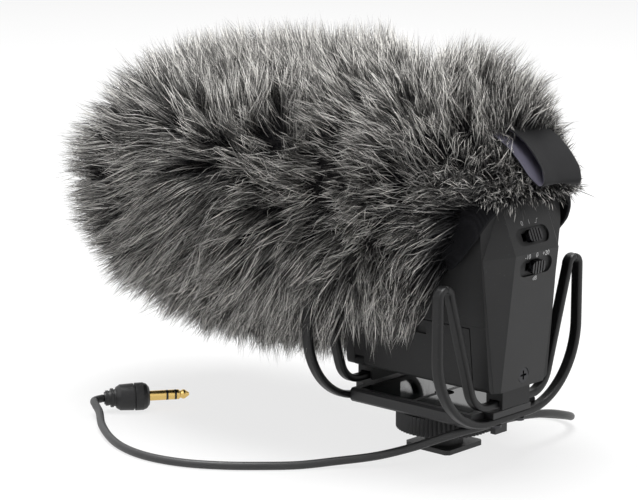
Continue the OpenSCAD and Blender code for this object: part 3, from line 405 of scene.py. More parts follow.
def panel_matrix(across, rise):
    """Where a mark goes: across the panel and up its face from the ridge, on the lower or upper slope."""
    lean = math.radians(upper_lean) if rise > 0 else math.radians(lower_lean)
    up = Vector((0, math.sin(lean), math.cos(lean)))
    out = Vector((1, 0, 0)).cross(up)
    turn = Matrix((Vector((1, 0, 0)), up, out)).transposed().to_4x4()
    return Matrix.Translation(ridge_place + Vector((across, 0, 0)) + up * rise + out * ink_thick) @ turn


def printed_mark(words, across, rise, height):
    """A word as a thin flat mesh on the panel, centred on its place."""
    curve = bpy.data.curves.new("mark", "FONT")
    curve.body = words
    curve.size = height * letter_scale
    curve.extrude = ink_thick
    curve.align_x = "CENTER"
    curve.align_y = "CENTER"
    drawn = placed("mark", curve)
    bpy.context.view_layer.update()
    mesh = bpy.data.meshes.new_from_object(drawn.evaluated_get(bpy.context.evaluated_depsgraph_get()))
    bpy.data.objects.remove(drawn)
    mesh.transform(panel_matrix(across, rise))
    return mesh


slope_line = np.array([(-0.9, -0.6), (-0.2, -0.6), (0.45, 0.6), (0.9, 0.6)]) / 1000
slope_wide = np.array([(0.0, 0.1)]) / 1000
slope_points = np.vstack([slope_line + slope_wide, slope_line - slope_wide])
slope_points = np.vstack([np.hstack([slope_points, np.full((8, 1), z)]) for z in (0, 2 * ink_thick)])
slope_sides = ((0, 1, 5, 4), (8, 9, 13, 12), (0, 1, 9, 8), (4, 5, 13, 12))
slope_faces = [[i + k for i in side] for side in slope_sides for k in range(3)]
slope_faces += [(0, 4, 12, 8), (3, 7, 15, 11)]
marks = shape_piece("panel_marks", slope_points, slope_faces, smooth=False)
marks.data.transform(panel_matrix(0.0036, 0.0097))
form = bmesh.new()
form.from_mesh(marks.data)
for words, across, rise, height in (
        ("0", -0.0036, 0.0097, 0.0016), ("I", 0, 0.0097, 0.0016), ("-10", -0.0047, -0.0011, 0.0016),
        ("0", 0, -0.0011, 0.0016), ("+20", 0.0045, -0.0011, 0.0016), ("dB", 0, -0.0087, 0.0014)):
    word = printed_mark(words, across, rise, height)
    form.from_mesh(word)
    bpy.data.meshes.remove(word)
form.to_mesh(marks.data)
form.free()
marks.data.materials.append(mark_grey)
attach(marks, "microphone")

# Battery, its snap and its door pin: a block battery in a metal case, pressed on a moulded snap behind
# a side door that turns on a steel pin.
battery_case = grained("battery_case", (0.02, 0.03, 0.045), gloss=0.25, metallic=0.6)
snap_black = grained("snap_black", (0.012, 0.012, 0.012), gloss=0.5)
bare_steel = grained("bare_steel", (0.42, 0.42, 0.43), shift=0.1, gloss=0.28, depth=0.00001, metallic=1.0)
finish_nodes(battery_case, "battery")
finish_nodes(snap_black, "battery_snap")
finish_nodes(bare_steel, "hinge_pin", "capsule")


# Battery pad: a block of black open foam, pressed in between the battery and the box so that the
# battery doesn't rattle.
def closed_faces(rows, columns):
    """Faces of a grid of rings whose first and last ring each close on a point kept after the grid."""
    size, last = rows * columns, (rows - 1) * columns
    faces = ring_faces(rows, columns)
    faces += [(size, (k + 1) % columns, k) for k in range(columns)]
    return faces + [(size + 1, last + k, last + (k + 1) % columns) for k in range(columns)]


def pillow(name, low, high, round_power):
    """A box with swollen sides: a ball whose axes are raised to a power below one, stretched to two
    corners."""
    rows, columns = 19, 32
    v = np.linspace(-np.pi / 2, np.pi / 2, rows + 2)[1:-1, None]
    u = full_turn(columns)

    def firm(x):
        return np.sign(x) * np.abs(x)**round_power
    ball = np.stack([firm(np.cos(v)) * firm(np.cos(u)), firm(np.cos(v)) * firm(np.sin(u)),
                     firm(np.sin(v)) * np.ones(columns)], -1).reshape(-1, 3)
    ball = np.vstack([ball, [[0, 0, -1], [0, 0, 1]]])
    low, high = np.array(low), np.array(high)
    return shape_piece(name, (low + high) / 2 + ball * (high - low) / 2, closed_faces(rows, columns))


# Open foam: round cells that pit the surface, with painted shade that darkens each pit towards its middle.
foam_black, tree, shader = plain_material("foam_black")
cells = on_object(tree, "TexVoronoi", {"Scale": 1100})["Distance"]
cell_tone_and_pit_shade = ramp_of(tree, cells, ((0, (0.004, 0.004, 0.004)), (1, (0.022, 0.022, 0.023))))
feed(tree, shader, {"Base Color": cell_tone_and_pit_shade, "Normal": bump_of(tree, cells, 0.0004), "Roughness": 0.95,
                    "Specular IOR Level": 0.1})

pad_low, pad_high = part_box("battery_pad")
battery_pad = pillow("battery_foam", pad_low, pad_high, 0.3)
battery_pad.data.materials.append(foam_black)
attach(battery_pad, "microphone")
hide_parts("battery_pad")

# Circuit board: green glass-fibre laminate with small parts soldered on it, screwed to posts behind
# the panel.
board_green = grained("board_green", (0.02, 0.12, 0.05), gloss=0.35)
finish_nodes(board_green, "circuit_board")

# Capsule tube: a slotted aluminium tube under the foam, with a grille on its front end and a collar
# that holds it to the housing.
tube_metal = grained("tube_metal", (0.05, 0.05, 0.052), gloss=0.4, metallic=0.8)
finish_nodes(tube_metal, "interference_tube", "tube_grille", "tube_collar")


# Foam windshield: one moulding of open black foam with a rounded nose and a bore, pushed over the
# tube.
def about_axis(radius, along, turn):
    """Points at a radius and an angle about the microphone's axis, from +X over the top, at places along
    it."""
    return np.stack([radius * np.cos(turn), along, axis_height + radius * np.sin(turn)], -1)


def turned_piece(name, profile, columns=72):
    """A profile of radius and distance along the microphone, turned round its axis; both its ends lie on
    the axis."""
    profile = np.asarray(profile, float)
    rings = profile[1:-1]
    points = about_axis(rings[:, :1], np.repeat(rings[:, 1:], columns, 1), full_turn(columns)).reshape(-1, 3)
    points = np.vstack([points, [(0, profile[0, 1], axis_height), (0, profile[-1, 1], axis_height)]])
    return shape_piece(name, points / 1000, closed_faces(len(rings), columns))


axis_height = 77.0
foam_radius = 22.0
foam_nose = 11.0
foam_front = 124.0
foam_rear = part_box("foam_windshield")[0][1] * 1000
bore_radius = 10.6
bore_front = 115.2
foam = turned_piece("foam_cover", np.vstack([
    [(0, foam_front)], arc((foam_radius - foam_nose, foam_front - foam_nose), foam_nose, 90, 0, 12),
    [(foam_radius, 90), (foam_radius, 60), (foam_radius, foam_rear + 1), (foam_radius - 1, foam_rear),
     (bore_radius + 1, foam_rear), (bore_radius, foam_rear + 1), (bore_radius, 60), (bore_radius, 90),
     (bore_radius, bore_front), (0, bore_front)]]))
foam.data.materials.append(foam_black)
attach(foam, "microphone")
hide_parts("foam_windshield")

# Backing: the windscreen's black knitted base, a sock with a rounded end that slips over the foam.
# The pile is knotted into its outside.
knit_black, tree, shader = plain_material("knit_black")
ribs = on_object(tree, "TexWave", {"Scale": 420, "Distortion": 2.5, "Detail": 2, "Detail Scale": 3})["Fac"]
fuzz = on_object(tree, "TexNoise", {"Scale": 1600})["Fac"]
woven = maths(tree, "MULTIPLY", ribs, fuzz)
# Painted shade: the cloth darkens where the ribs and fuzz sink the bump, in the knit's grooves.
cloth_tone_and_groove_shade = ramp_of(tree, woven, ((0, (0.004, 0.004, 0.005)), (1, (0.013, 0.013, 0.015))))
feed(tree, shader, {"Base Color": cloth_tone_and_groove_shade, "Normal": bump_of(tree, woven, 0.00012), "Roughness": 0.8,
                    "Specular IOR Level": 0.12})

knit_in = 22.6
knit_out = 23.8
knit_thick = 1.2
knit_front = 124.6
sleeve_rear = 31.8
knit_round = 11.6
knit_nose = (knit_in - knit_round, knit_front - knit_round)
backing = turned_piece("knit_backing", np.vstack([
    [(0, knit_front + knit_thick)], arc(knit_nose, knit_round + knit_thick, 90, 0, 12),
    [(knit_out, 90), (knit_out, 60), (knit_out, sleeve_rear),
     (knit_in, sleeve_rear), (knit_in, 60), (knit_in, 90)],
    arc(knit_nose, knit_round, 0, 90, 12), [(0, knit_front)]]))
backing.data.materials.append(knit_black)
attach(backing, "windscreen")
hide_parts("backing_sleeve")

# Cuff: the hood's black stretch lining and elastic edge, one knitted piece. It runs back over the
# housing, climbs past the rear panel and closes over the panel's top.
cuff_radius = 24.0
cuff_close_from = -28.0
cuff_close_over = 14.0
cuff_thick = 0.9
cuff_first, cuff_last = -29, 209
cuff_lap = 0.3
wrinkle_high = 0.25
hem_swell = 0.35
hem_share = 0.05


def cuff_reach(along):
    """Radius of the cuff: level, then closing in as an ellipse behind the housing."""
    past = np.clip((cuff_close_from - along) / cuff_close_over, 0, 0.999)
    return cuff_radius * np.sqrt(1 - past**2)


def cuff_end(turn):
    """How far back the cuff goes at an angle about the axis: furthest at the top, least at its low ends."""
    low = np.abs(np.degrees(turn) - 90)
    return np.interp(low, [0, 40, 60, 80, 90, 100, 110, 116, 119],
                     [-40.8, -39, -35.6, -33, -31, -27.6, -24, -21.4, -19])


def two_skins(name, front, back):
    """A thin closed sheet: two grids of points in millimetres, joined round their rims."""
    rows, columns = front.shape[:2]
    size = rows * columns
    r, c = np.meshgrid(np.arange(rows - 1), np.arange(columns - 1), indexing="ij")
    first = r * columns + c
    quad = np.stack([first, first + 1, first + columns + 1, first + columns], -1).reshape(-1, 4)
    rim = np.concatenate([np.arange(columns), np.arange(2 * columns - 1, size, columns),
                          np.arange(size - 2, size - columns - 1, -1),
                          np.arange(size - 2 * columns, 0, -columns)])
    rim_faces = np.stack([rim, np.roll(rim, -1), np.roll(rim, -1) + size, rim + size], -1)
    points = np.concatenate([front.reshape(-1, 3), back.reshape(-1, 3)]) / 1000
    return shape_piece(name, points, np.concatenate([quad, quad[:, ::-1] + size, rim_faces]))


turn = np.radians(np.linspace(cuff_first, cuff_last, 120))[:, None]
share = np.linspace(0, 1, 60)[None]
along = sleeve_rear - cuff_lap + (cuff_end(turn) - sleeve_rear + cuff_lap) * share
wrinkle = wrinkle_high * np.sin(9 * turn + 0.2 * along) * np.clip((4 - along) / 30, 0, 1)
hem = hem_swell * np.exp(-((1 - share) / hem_share)**2)
cuff = two_skins("stretch_cuff", about_axis(cuff_reach(along) + wrinkle + hem, along, turn),
                 about_axis(cuff_reach(along) + wrinkle - cuff_thick - hem, along, turn))
cuff.data.materials.append(knit_black)
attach(cuff, "windscreen")
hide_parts("hood_lining", "elastic_hem")

# Fur pile: long synthetic hair knotted into the knit and standing out of it all round, near black
# at the root and pale at the tip, the dark roots partly painted shade of the pile's depth. Locks close up
# towards their tips and part along a few lines.
dome_start = 112.0
dome_length = 14.0
dome_arc = 22.0
# Tip form over the sleeve and hood: for roots at these places along the tube, how far out the tips
# reach at the top, at the sides and at the bottom, and how far along the tube they lie
lock_root = np.array([-41, -36, -30, -26, -18, -8, 2, 11, 13, 22, 34, 58, 84, 100, 112])
tip_top = np.array([25, 32, 39, 46, 55, 60.5, 59.5, 56, 56, 61, 61.5, 59.5, 57, 52.5, 46.5])
tip_side = np.array([18, 20, 24, 28, 37, 49, 54, 53, 53, 55, 57, 57, 56, 51.5, 45.5])
tip_low = np.array([19, 22, 27, 31, 41, 47, 49, 49, 49, 52, 54.5, 56.5, 56.5, 52.5, 46])
tip_along = np.array([-44, -41, -37, -33, -24.5, -12, 1, 8, 17, 26, 37, 62, 92, 113, 130])
dome_turn = np.array([0, 30, 60, 90])
dome_tip_top = np.array([46, 38.5, 23.5, 0])
dome_tip_low = np.array([45.5, 38.5, 23, 0])
dome_tip_along = np.array([130, 142, 153, 158])
# Partings: a line on the knit between two places (along, turn in degrees), how wide it opens and how
# far it pushes; a degree counts as so many millimetres, and a lock on the line stays where it is
degree_wide = 0.55
parting_core = 1.5
partings = [((88, 140), (66, 153), 17, 16), ((47, 140), (41, 146), 11, 13), ((39, 172), (33, 175), 11, 13),
            ((16, 84), (-2, 118), 11, 12), ((-18, 136), (-12, 150), 11, 11), ((8, 186), (14, 197), 10, 10),
            ((68, 227), (60, 230), 9, 9), ((70, 40), (52, 30), 13, 12), ((96, 10), (90, -8), 11, 10)]
# Degrees from straight up: where the top's tips end, and from where and over what the bottom's come in
top_until, low_from, low_over = 50, 60, 60
# The front end's tips lie further forward at the sides: by how much, at what angle and place
fuller_by = 4.5
fuller_turn, fuller_spread = 85, 45
fuller_from, fuller_over = 84, 30
# Hair on the flanks hangs by this turn, at these angles and behind this place
hang_turn = 20
hang_from, hang_over, hang_until = 50, 60, 121
hang_behind, hang_fade = 60, 25
# Hair at the hood's rear sides is combed forward, with its tips drawn towards one reach
comb_from, comb_over = 40, 30
comb_behind, comb_fade = -2, 16
comb_ahead = 9
comb_reach, comb_share = 38, 0.6


def ease(x):
    """A smooth step from nought to one."""
    x = np.clip(x, 0, 1)
    return x * x * (3 - 2 * x)


def hair_ends(along, turn):
    """Root and tip of each lock in millimetres. Roots lie on the sock and cuff, tips on a fuller form round
    them; past the tube's end both run over a rounded nose. Turn is the angle about the axis."""
    over = np.clip((along - dome_start) / dome_arc, 0, 1) * 90
    on_dome = along > dome_start
    root_r = np.where(on_dome, knit_out * np.cos(np.radians(over)), cuff_reach(along))
    root_y = np.where(on_dome, dome_start + dome_length * np.sin(np.radians(over)), along)
    low = np.abs(np.degrees(turn) - 90)
    at_top = ease(1 - low / top_until)
    at_low = ease((low - low_from) / low_over)
    tube_r = (np.interp(along, lock_root, tip_top) * at_top + np.interp(along, lock_root, tip_low) * at_low
              + np.interp(along, lock_root, tip_side) * (1 - at_top - at_low))
    high = 0.5 + 0.5 * np.sin(turn)
    nose_r = (np.interp(over, dome_turn, dome_tip_low) * (1 - high)
              + np.interp(over, dome_turn, dome_tip_top) * high)
    tip_r = np.where(on_dome, nose_r, tube_r)
    tip_y = np.where(on_dome, np.interp(over, dome_turn, dome_tip_along),
                     np.interp(along, lock_root, tip_along))
    fuller = fuller_by * np.exp(-((low - fuller_turn) / fuller_spread)**2)
    tip_y = tip_y + fuller * ease((along - fuller_from) / fuller_over)
    hang = ease((low - hang_from) / hang_over) * np.clip((hang_behind - along) / hang_fade, 0, 1)
    hang = hang * np.sign(np.degrees(turn) - 90)
    tip_turn = turn + np.radians(hang_turn) * np.where(low < hang_until, hang, 0)
    combed = ease((low - comb_from) / comb_over) * ease((comb_behind - along) / comb_fade)
    tip_y = tip_y + (along + comb_ahead - tip_y) * combed
    tip_r = tip_r + (comb_reach - tip_r) * comb_share * combed
    return about_axis(root_r, root_y, turn), about_axis(tip_r, tip_y, tip_turn)


def swell(rng, along, turn, size):
    """Slow random drift over the fur: a sum of five sine waves of random heading."""
    heading = rng.normal(0, 1 / size, (5, 1))
    winding = rng.integers(-5, 6, (5, 1))
    phase = rng.uniform(0, 2 * np.pi, (5, 1))
    return np.sin(heading * along + winding * turn + phase).sum(0) / 5**0.5


def parted(along, turn):
    """Push of the partings on each lock: away from the nearest point of each line, fading with distance."""
    push = np.zeros((len(along), 2))
    here = np.stack([along, np.degrees(turn) * degree_wide], -1)
    for first, last, width, strength in partings:
        a, b = np.array(first) * [1, degree_wide], np.array(last) * [1, degree_wide]
        t = np.clip(((here - a) @ (b - a)) / ((b - a) @ (b - a)), 0, 1)[:, None]
        away = here - (a + t * (b - a))
        far = np.linalg.norm(away, axis=1, keepdims=True)
        push += strength * away / (far + parting_core) * np.exp(-(far / width)**2)
    return push


def tab_height(along):
    """Height of the ribbon tab that lies on the fur behind the hood's top."""
    return np.interp(along, [-47, -42.5, -38.5, -34, -29], [93.8, 100.4, 104.2, 106.9, 108.6])


def bent_line(start, bend, stop, t):
    """The point a share t along a line from start to stop, drawn towards bend: a parabola."""
    return start * (1 - t)**2 + 2 * bend * t * (1 - t) + stop * t**2


# Locks: length as a share of the form's, how far their tips drift together and each by itself, and the
# width of a lock at its root; short locks and those of the nose stray less
strands_per_lock = 18
lock_wide = 1.7
lock_length, lock_spread, lock_shortest = 0.97, 0.05, 0.82
free_length, least_free, nose_free = 34, 0.25, 0.5
drift, drift_size, scatter = 4.5, 16, 4.2
# Strands: how far they gather at the tip, their own scatter, how much the shortest is cut and how they bend
gather_least, gather_most = 0.05, 0.55
tip_scatter, bend_scatter = 0.9, 2.6
cut_most, cut_power = 0.42, 2.2
# Strands that reach into the ribbon tab's place are left out: its middle, half width and front, and how
# far it goes below and above the tab
clear_middle, clear_half, clear_front = -1, 11.5, -34.5
clear_below, clear_above = -2.2, 8


def hair_paths(rng, along, turn, droop):
    """Start, bend and end of every strand, and its lock: strands start spread about a lock's root and
    gather towards its tip."""
    root, tip = hair_ends(along, turn)
    out = tip - root
    reach = np.linalg.norm(out, axis=1, keepdims=True)
    across = np.stack([-np.sin(turn), np.zeros(len(turn)), np.cos(turn)], -1)
    push = parted(along, turn)
    locks = len(along)
    tip = root + out * np.clip(rng.normal(lock_length, lock_spread, (locks, 1)), lock_shortest, 1.0)
    free = np.clip(reach[:, 0] / free_length, least_free, 1) * np.where(along > dome_start, nose_free, 1)

    def strayed(shift):
        return free * (shift + drift * swell(rng, along, turn, drift_size)
                       + scatter * np.clip(rng.normal(0, 1, locks), -2, 2))
    tip += across * strayed(push[:, 1])[:, None]
    tip[:, 1] += strayed(push[:, 0])
    tip[:, 2] -= droop * free * np.abs(np.cos(turn)) * rng.uniform(0.5, 1.4, locks)
    lock = np.repeat(np.arange(locks), strands_per_lock)
    strands = len(lock)
    offset = rng.normal(0, lock_wide, (strands, 3))
    normal = (out / reach)[lock]
    offset -= normal * (offset * normal).sum(1, keepdims=True)
    start = root[lock] + offset
    gathered = offset * rng.uniform(gather_least, gather_most, (strands, 1))
    stop = tip[lock] + gathered + rng.normal(0, tip_scatter, (strands, 3))
    stop = start + (stop - start) * (1 - cut_most * rng.random((strands, 1))**cut_power)
    half_way = normal * np.linalg.norm(stop - start, axis=1, keepdims=True) * 0.5
    bend = start + half_way + rng.normal(0, bend_scatter, (strands, 3))
    clear = np.full(strands, True)
    for t in (0.4, 0.6, 0.8, 1):
        x, y, z = bent_line(start, bend, stop, t).T
        above = z - tab_height(y)
        clear &= ~((np.abs(x - clear_middle) < clear_half) & (y < clear_front)
                   & (above > clear_below) & (above < clear_above))
    return start[clear], bend[clear], stop[clear], lock[clear]


strand_stops = np.array([0.08, 0.45, 0.75, 1.0])
strand_widths = np.array([0.15, 0.16, 0.12])
pale_share = 0.34
pale_tones, dark_tones, lock_tones = (0.5, 1.0), (0.02, 0.12), (0.55, 1.25)
strand_faces = []
for first in (0, 3):
    for k in range(3):
        here, beside = first + k, first + (k + 1) % 3
        strand_faces += [(here, beside, beside + 3), (here, beside + 3, here + 3)]
strand_faces = np.array(strand_faces + [(6, 7, 9), (7, 8, 9), (8, 6, 9), (2, 1, 0)])


def hair_piece(name, rng, start, bend, stop, lock):
    """Closed strands: a triangle carried along each bent line, tapering to a point. The map's first number
    is a strand's tone and its second how far along the strand a corner lies."""
    strands = len(start)
    line = bent_line(start[:, None], bend[:, None], stop[:, None], strand_stops[None, :, None])
    ahead = unit(stop - start)
    side = unit(np.cross(ahead, rng.normal(0, 1, (strands, 3))))
    over = np.cross(ahead, side)
    angle = full_turn(3)[None, :, None]
    ring = np.cos(angle) * side[:, None] + np.sin(angle) * over[:, None]
    pale = rng.random(strands) < pale_share
    tone = np.where(pale, rng.uniform(*pale_tones, strands), rng.uniform(*dark_tones, strands))
    tone = np.clip(tone * rng.uniform(*lock_tones, lock.max() + 1)[lock], 0.02, 0.98)
    thick = (0.7 + 0.65 * tone)[:, None, None, None] * strand_widths[None, :, None, None]
    rings = line[:, :3, None] + ring[:, None] * thick
    points = np.concatenate([rings.reshape(strands, 9, 3), line[:, 3:]], 1)
    faces = (strand_faces[None] + 10 * np.arange(strands)[:, None, None]).reshape(-1, 3)
    mesh = bpy.data.meshes.new(name)
    mesh.vertices.add(10 * strands)
    mesh.vertices.foreach_set("co", (points / 1000).astype(np.float32).ravel())
    mesh.loops.add(faces.size)
    mesh.loops.foreach_set("vertex_index", faces.astype(np.int32).ravel())
    mesh.polygons.add(len(faces))
    mesh.polygons.foreach_set("loop_start", np.arange(0, faces.size, 3, dtype=np.int32))
    mesh.polygons.foreach_set("loop_total", np.full(len(faces), 3, dtype=np.int32))
    mesh.polygons.foreach_set("use_smooth", np.full(len(faces), True))
    level = np.repeat(strand_stops, (3, 3, 3, 1)) * 0.98
    column = np.array([0, 1, 2] * 3 + [1]) * 0.002
    spot = np.stack([tone[:, None] + column, np.broadcast_to(level, (strands, 10))], -1).reshape(-1, 2)
    corner_spots = spot[faces.ravel()].astype(np.float32)
    mesh.uv_layers.new(name="OFBake").data.foreach_set("uv", corner_spots.ravel())
    mesh.update()
    piece = placed(name, mesh)
    piece.data.materials.append(pile_grey)
    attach(piece, "windscreen")
    return piece


pile_grey, tree, shader = plain_material("pile_grey")
strand_map = tree.nodes.new("ShaderNodeUVMap")
strand_map.uv_map = "OFBake"
spots = feed(tree, "SeparateXYZ", {"Vector": strand_map.outputs["UV"]})
strand_tone = tree.nodes.new("ShaderNodeMix")
strand_tone.data_type = "RGBA"
# Painted shade, in part: each strand darkens from its tip tone towards near black at the root.
hair_colour_and_root_shade = feed(tree, strand_tone, {
    "Factor": spots["X"],
    "A": ramp_of(tree, spots["Y"], ((0.1, (0.004, 0.004, 0.005)), (0.6, (0.013, 0.013, 0.014)),
                                    (1.0, (0.062, 0.060, 0.056)))),
    "B": ramp_of(tree, spots["Y"], ((0.1, (0.012, 0.012, 0.015)), (0.5, (0.19, 0.188, 0.186)),
                                    (0.78, (0.78, 0.76, 0.725)), (1.0, (0.98, 0.955, 0.91))))})["Result"]
feed(tree, shader, {"Base Color": hair_colour_and_root_shade, "Roughness": 0.5, "Specular IOR Level": 0.12})


# Shade layer: a near-black closed sheet under the long pile, painted shade that stands for the pile's dark
# depth and is too thick to see into. It is one lumpy layer that follows the locks and sinks along the
# partings.
def under_layer(rng, along, turn, share, lump_size):
    """Points of the layer: a share of the way from root to tip, less along partings, with slow lumps."""
    shape = along.shape
    along, turn, share = along.ravel(), turn.ravel(), share.ravel()
    root, tip = hair_ends(along, turn)
    sunk = np.clip(np.linalg.norm(parted(along, turn), axis=1) / sunk_push, 0, 1)
    lumps = lump_size * (swell(rng, along, turn, 7) + swell(rng, along, turn, 3))
    return (root + (tip - root) * (share * (1 - sunk_share * sunk) * (1 + lumps))[:, None]).reshape(*shape, 3)


# Painted shade: near-black, mottled by faint wisps that also give its bump.
shade_layer_black, tree, shader = plain_material("shade_layer_black")
wisps = on_object(tree, "TexNoise", {"Scale": 900, "Detail": 4})["Fac"]
shade_layer_tone = ramp_of(tree, wisps, ((0.4, (0.003, 0.003, 0.004)), (0.75, (0.022, 0.021, 0.021))))
feed(tree, shader, {"Base Color": shade_layer_tone, "Normal": bump_of(tree, wisps, 0.0008), "Roughness": 0.95,
                    "Specular IOR Level": 0.05})

under_share = 0.63
under_lining = 0.1
under_lumps = 0.03
under_front, under_rear = 133.4, 30.6
sunk_push, sunk_share = 14, 0.4
under_rng = np.random.default_rng(5)
rows, columns = 90, 180
turn = np.broadcast_to(np.radians(-90 + 360 * np.arange(columns) / columns), (rows, columns))
along = np.broadcast_to(np.linspace(under_front, under_rear, rows)[:, None], (rows, columns))
outer = under_layer(under_rng, along, turn, np.full((rows, columns), under_share), under_lumps)
inner = under_layer(under_rng, along, turn, np.full((rows, columns), under_lining), 0.0)[::-1]
points = np.concatenate([outer.reshape(-1, 3), inner.reshape(-1, 3), [outer[0].mean(0), inner[-1].mean(0)]])
sleeve_under = shape_piece("sleeve_shade_layer", points / 1000, closed_faces(2 * rows, columns))
sleeve_under.data.materials.append(shade_layer_black)
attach(sleeve_under, "windscreen")


def hood_bare(turn):
    """How far the hair stays ahead of the cuff's edge at an angle about the axis."""
    low = np.abs(np.degrees(turn) - 90)
    return np.interp(low, [0, 30, 55, 75, 100, 116, 119], [0, 0.5, 5, 9, 9, 6, 2])


hood_first, hood_last = -28, 208
hood_front = 31
rise_over = 22
rows, columns = 130, 60
turn = np.broadcast_to(np.radians(np.linspace(hood_first, hood_last, rows))[:, None], (rows, columns))
rear = cuff_end(turn) + hood_bare(turn)
along = rear + (hood_front - rear) * np.linspace(0, 1, columns)
sides = np.clip((120 - np.abs(np.degrees(turn) - 90)) / 8, 0.15, 1)
share = under_share * ease((along - rear) / rise_over) * sides + 0.02
outer = under_layer(under_rng, along, turn, share, under_lumps)
inner = under_layer(under_rng, along, turn, np.minimum(share * 0.4, under_lining), 0.0)[:, ::-1]
loops = np.concatenate([outer, inner], 1)
around = 2 * columns
caps = [(k, k + 1, around - 2 - k, around - 1 - k) for k in range(columns - 1)]
caps += [tuple((rows - 1) * around + i for i in face) for face in caps]
hood_under = shape_piece("hood_shade_layer", loops.reshape(-1, 3) / 1000, ring_faces(rows, around) + caps)
hood_under.data.materials.append(shade_layer_black)
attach(hood_under, "windscreen")

# Sleeve fur: the long pile over the front part, black and pale synthetic hair in six pieces of locks
# that meet along the sleeve.
sleeve_droop = 3.0
nose_locks, sleeve_locks = 650, 560
sleeve_spans = [(*span, side, side + 180) for span in ((31, 62), (62, 90), (90, 134)) for side in (-90, 90)]
for k, (low, high, turn_low, turn_high) in enumerate(sleeve_spans):
    rng = np.random.default_rng(11 + k)
    locks = nose_locks if high > dome_start else sleeve_locks
    along = rng.uniform(low, high, locks)
    turn = np.radians(rng.uniform(turn_low, turn_high, locks))
    sleeve_fur = hair_piece(f"sleeve_fur_{k + 1}", rng, *hair_paths(rng, along, turn, sleeve_droop))
    if k == 0:
        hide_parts("fur_sleeve")

# Hood fur: the same pile on the cuff, combed down the flanks over the springs, in four pieces of
# locks. The cuff's edge stays bare at the sides.
hood_droop = 3.5
hood_tries, hood_locks = 900, 520
hood_spans = [(*span, *side) for span in ((-41, -4), (-4, hood_front))
              for side in ((hood_first, 90), (90, hood_last))]
for k, (low, high, turn_low, turn_high) in enumerate(hood_spans):
    rng = np.random.default_rng(41 + k)
    along = rng.uniform(low, high, hood_tries)
    turn = np.radians(rng.uniform(turn_low, turn_high, hood_tries))
    haired = along > cuff_end(turn) + hood_bare(turn)
    along, turn = along[haired][:hood_locks], turn[haired][:hood_locks]
    hood_fur = hair_piece(f"hood_fur_{k + 1}", rng, *hair_paths(rng, along, turn, hood_droop))
    if k == 0:
        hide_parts("fur_hood")

# Fringe: short single hairs of the same pile along the cuff's top edge, which hang over the top of
# the rear panel.
hairs = 1500
fringe_first, fringe_last, fringe_deep = 30, 150, 7
shortest, longest = 2.5, 6
rng = np.random.default_rng(71)
turn = np.radians(rng.uniform(fringe_first, fringe_last, hairs))
along = cuff_end(turn) + rng.uniform(0, fringe_deep, hairs)
root = about_axis(cuff_reach(along), along, turn)
way = np.stack([0.75 * np.cos(turn), np.full(hairs, -0.6), np.full(hairs, -0.4)], -1)
way += rng.normal(0, 0.32, (hairs, 3))
length = rng.uniform(shortest, longest, (hairs, 1))
bend = root + length * 0.5 * (way + [0, -0.35, 0.3])
hair_piece("hood_fringe", rng, root, bend, root + length * way, np.arange(hairs))

# Pull tab: a loop of black woven ribbon sewn into the hood above the panel, folded flat, blank,
# with a pale lilac wrong side that shows inside the loop, where the lower layer has slipped sideways.
tab_wide = 19.0
tab_thick = 0.45
tab_slip, slip_from, slip_over = -4.2, 0.42, 0.2
tab_cup = 0.35
tab_lift, tab_tilt = 1.6, 0.09
tab_side = [(-29, 108.6), (-34, 106.9), (-38.5, 104.2), (-42.5, 100.4), (-45.6, 96.4), (-47.2, 93.8),
            (-47.5, 92.6), (-46.9, 91.9), (-45.9, 92.3), (-43.2, 95.4), (-39.2, 99.6), (-34.6, 103.3),
            (-29, 106.2)]
tab_path = smooth_path([(0, y, z) for y, z in tab_side], 6)
tab_run = np.concatenate([[0], np.cumsum(np.linalg.norm(np.diff(tab_path, axis=0), axis=1))])
slip = tab_slip * np.clip((tab_run / tab_run[-1] - slip_from) / slip_over, 0, 1)
away = np.cross(np.array([[1.0, 0, 0]]), unit(np.gradient(tab_path, axis=0)))
width_at = np.linspace(-0.5, 0.5, 25)
cup = tab_cup * np.cos(2 * np.pi * width_at)
roll = np.array([0, 0.0, 1]) * (tab_lift - tab_tilt * tab_wide * width_at)[None, :, None]
sideways = np.array([1.0, 0, 0]) * (width_at[None, :, None] * tab_wide + slip[:, None, None])
front_skin = tab_path[:, None] + sideways + away[:, None] * cup[None, :, None] + roll
tab = two_skins("ribbon_tab", front_skin, front_skin + away[:, None] * tab_thick)
rows, columns = front_skin.shape[:2]
spot = np.stack([np.broadcast_to(width_at + 0.5, (rows, columns)),
                 np.broadcast_to(tab_run[:, None] / tab_wide, (rows, columns))], -1).reshape(-1, 2)
spot = np.concatenate([spot, spot + [2, 0]])
corner_of = np.zeros(len(tab.data.loops), np.int32)
tab.data.loops.foreach_get("vertex_index", corner_of)
tab.data.uv_layers.new(name="ribbon").data.foreach_set("uv", spot[corner_of].astype(np.float32).ravel())
ribbon, tree, shader = plain_material("ribbon_black")
ribbon_map = tree.nodes.new("ShaderNodeUVMap")
ribbon_map.uv_map = "ribbon"
ribbon_spot = ribbon_map.outputs["UV"]
across = feed(tree, "SeparateXYZ", {"Vector": ribbon_spot})["X"]
inner_side = maths(tree, "MULTIPLY", across, 1 / 3)
layers = ramp_of(tree, inner_side, ((0.44, (0.006, 0.006, 0.007)), (0.5, (0.10, 0.095, 0.13))))
threads = tree.nodes.new("ShaderNodeTexWave")
threads.bands_direction = "Y"
weave = feed(tree, threads, {"Vector": ribbon_spot, "Scale": 26})["Fac"]
feed(tree, shader, {"Base Color": layers, "Normal": bump_of(tree, weave, 0.00008), "Roughness": 0.55,
                    "Specular IOR Level": 0.2})
tab.data.materials.append(ribbon)
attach(tab, "windscreen")
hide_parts("pull_tab")

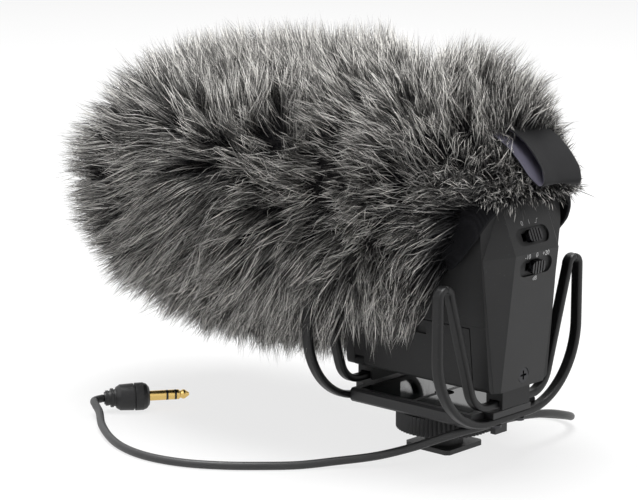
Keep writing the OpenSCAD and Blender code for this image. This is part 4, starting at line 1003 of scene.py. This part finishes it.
# Floor and light: white paper under broad soft lamps overhead, so that the shadow stays close
# and soft.
floor_half = 6.0
floor_corners = [(x * floor_half, y * floor_half, 0) for x, y in ((-1, -1), (1, -1), (1, 1), (-1, 1))]
floor = shape_piece("white_floor", floor_corners, [(0, 1, 2, 3)], smooth=False)


def white_seen(tree):
    """One for rays that come from the camera, off a gloss or through a clear piece, else nought."""
    ray = tree.nodes.new("ShaderNodeLightPath").outputs
    mirrored = maths(tree, "MAXIMUM", ray["Is Glossy Ray"], ray["Is Transmission Ray"])
    return maths(tree, "MAXIMUM", ray["Is Camera Ray"], mirrored)


floor_lift = 0.78
paper, tree, shader = plain_material("white_paper")
feed(tree, shader, {"Base Color": (0.93, 0.93, 0.93, 1), "Roughness": 0.9, "Specular IOR Level": 0.0})
lifted = feed(tree, "MixShader", {
    "Fac": maths(tree, "MULTIPLY", white_seen(tree), floor_lift), 1: shader.outputs[0],
    2: tree.nodes.new("ShaderNodeEmission").outputs[0]})
feed(tree, tree.nodes["Material Output"], {"Surface": lifted[0]})
floor.data.materials.append(paper)

room_light = 0.08
world = bpy.data.worlds.new("studio")
bpy.context.scene.world = world
world.use_nodes = True
tree = world.node_tree
strength = feed(tree, "MapRange", {
    "Value": white_seen(tree), "To Min": room_light, "To Max": 1.0})["Result"]
feed(tree, tree.nodes["Background"], {"Color": (1, 1, 1, 1), "Strength": strength})


def soft_lamp(name, place, aim, size, power):
    """A square lamp of that size in metres, turned to face its aim."""
    data = bpy.data.lights.new(name, "AREA")
    data.size = size
    data.energy = power
    lamp = placed(name, data)
    lamp.location = place
    lamp.rotation_euler = (Vector(aim) - Vector(place)).to_track_quat("-Z", "Y").to_euler()


soft_lamp("top_lamp", (0.1, 0.25, 1.4), (0, 0.04, 0.05), 1.0, 36)
soft_lamp("left_lamp", (-1.3, 0.4, 1.0), (0, 0.04, 0.07), 0.8, 2.5)
soft_lamp("rear_lamp", (0.2, -1.3, 0.9), (0, 0, 0.06), 0.8, 3)
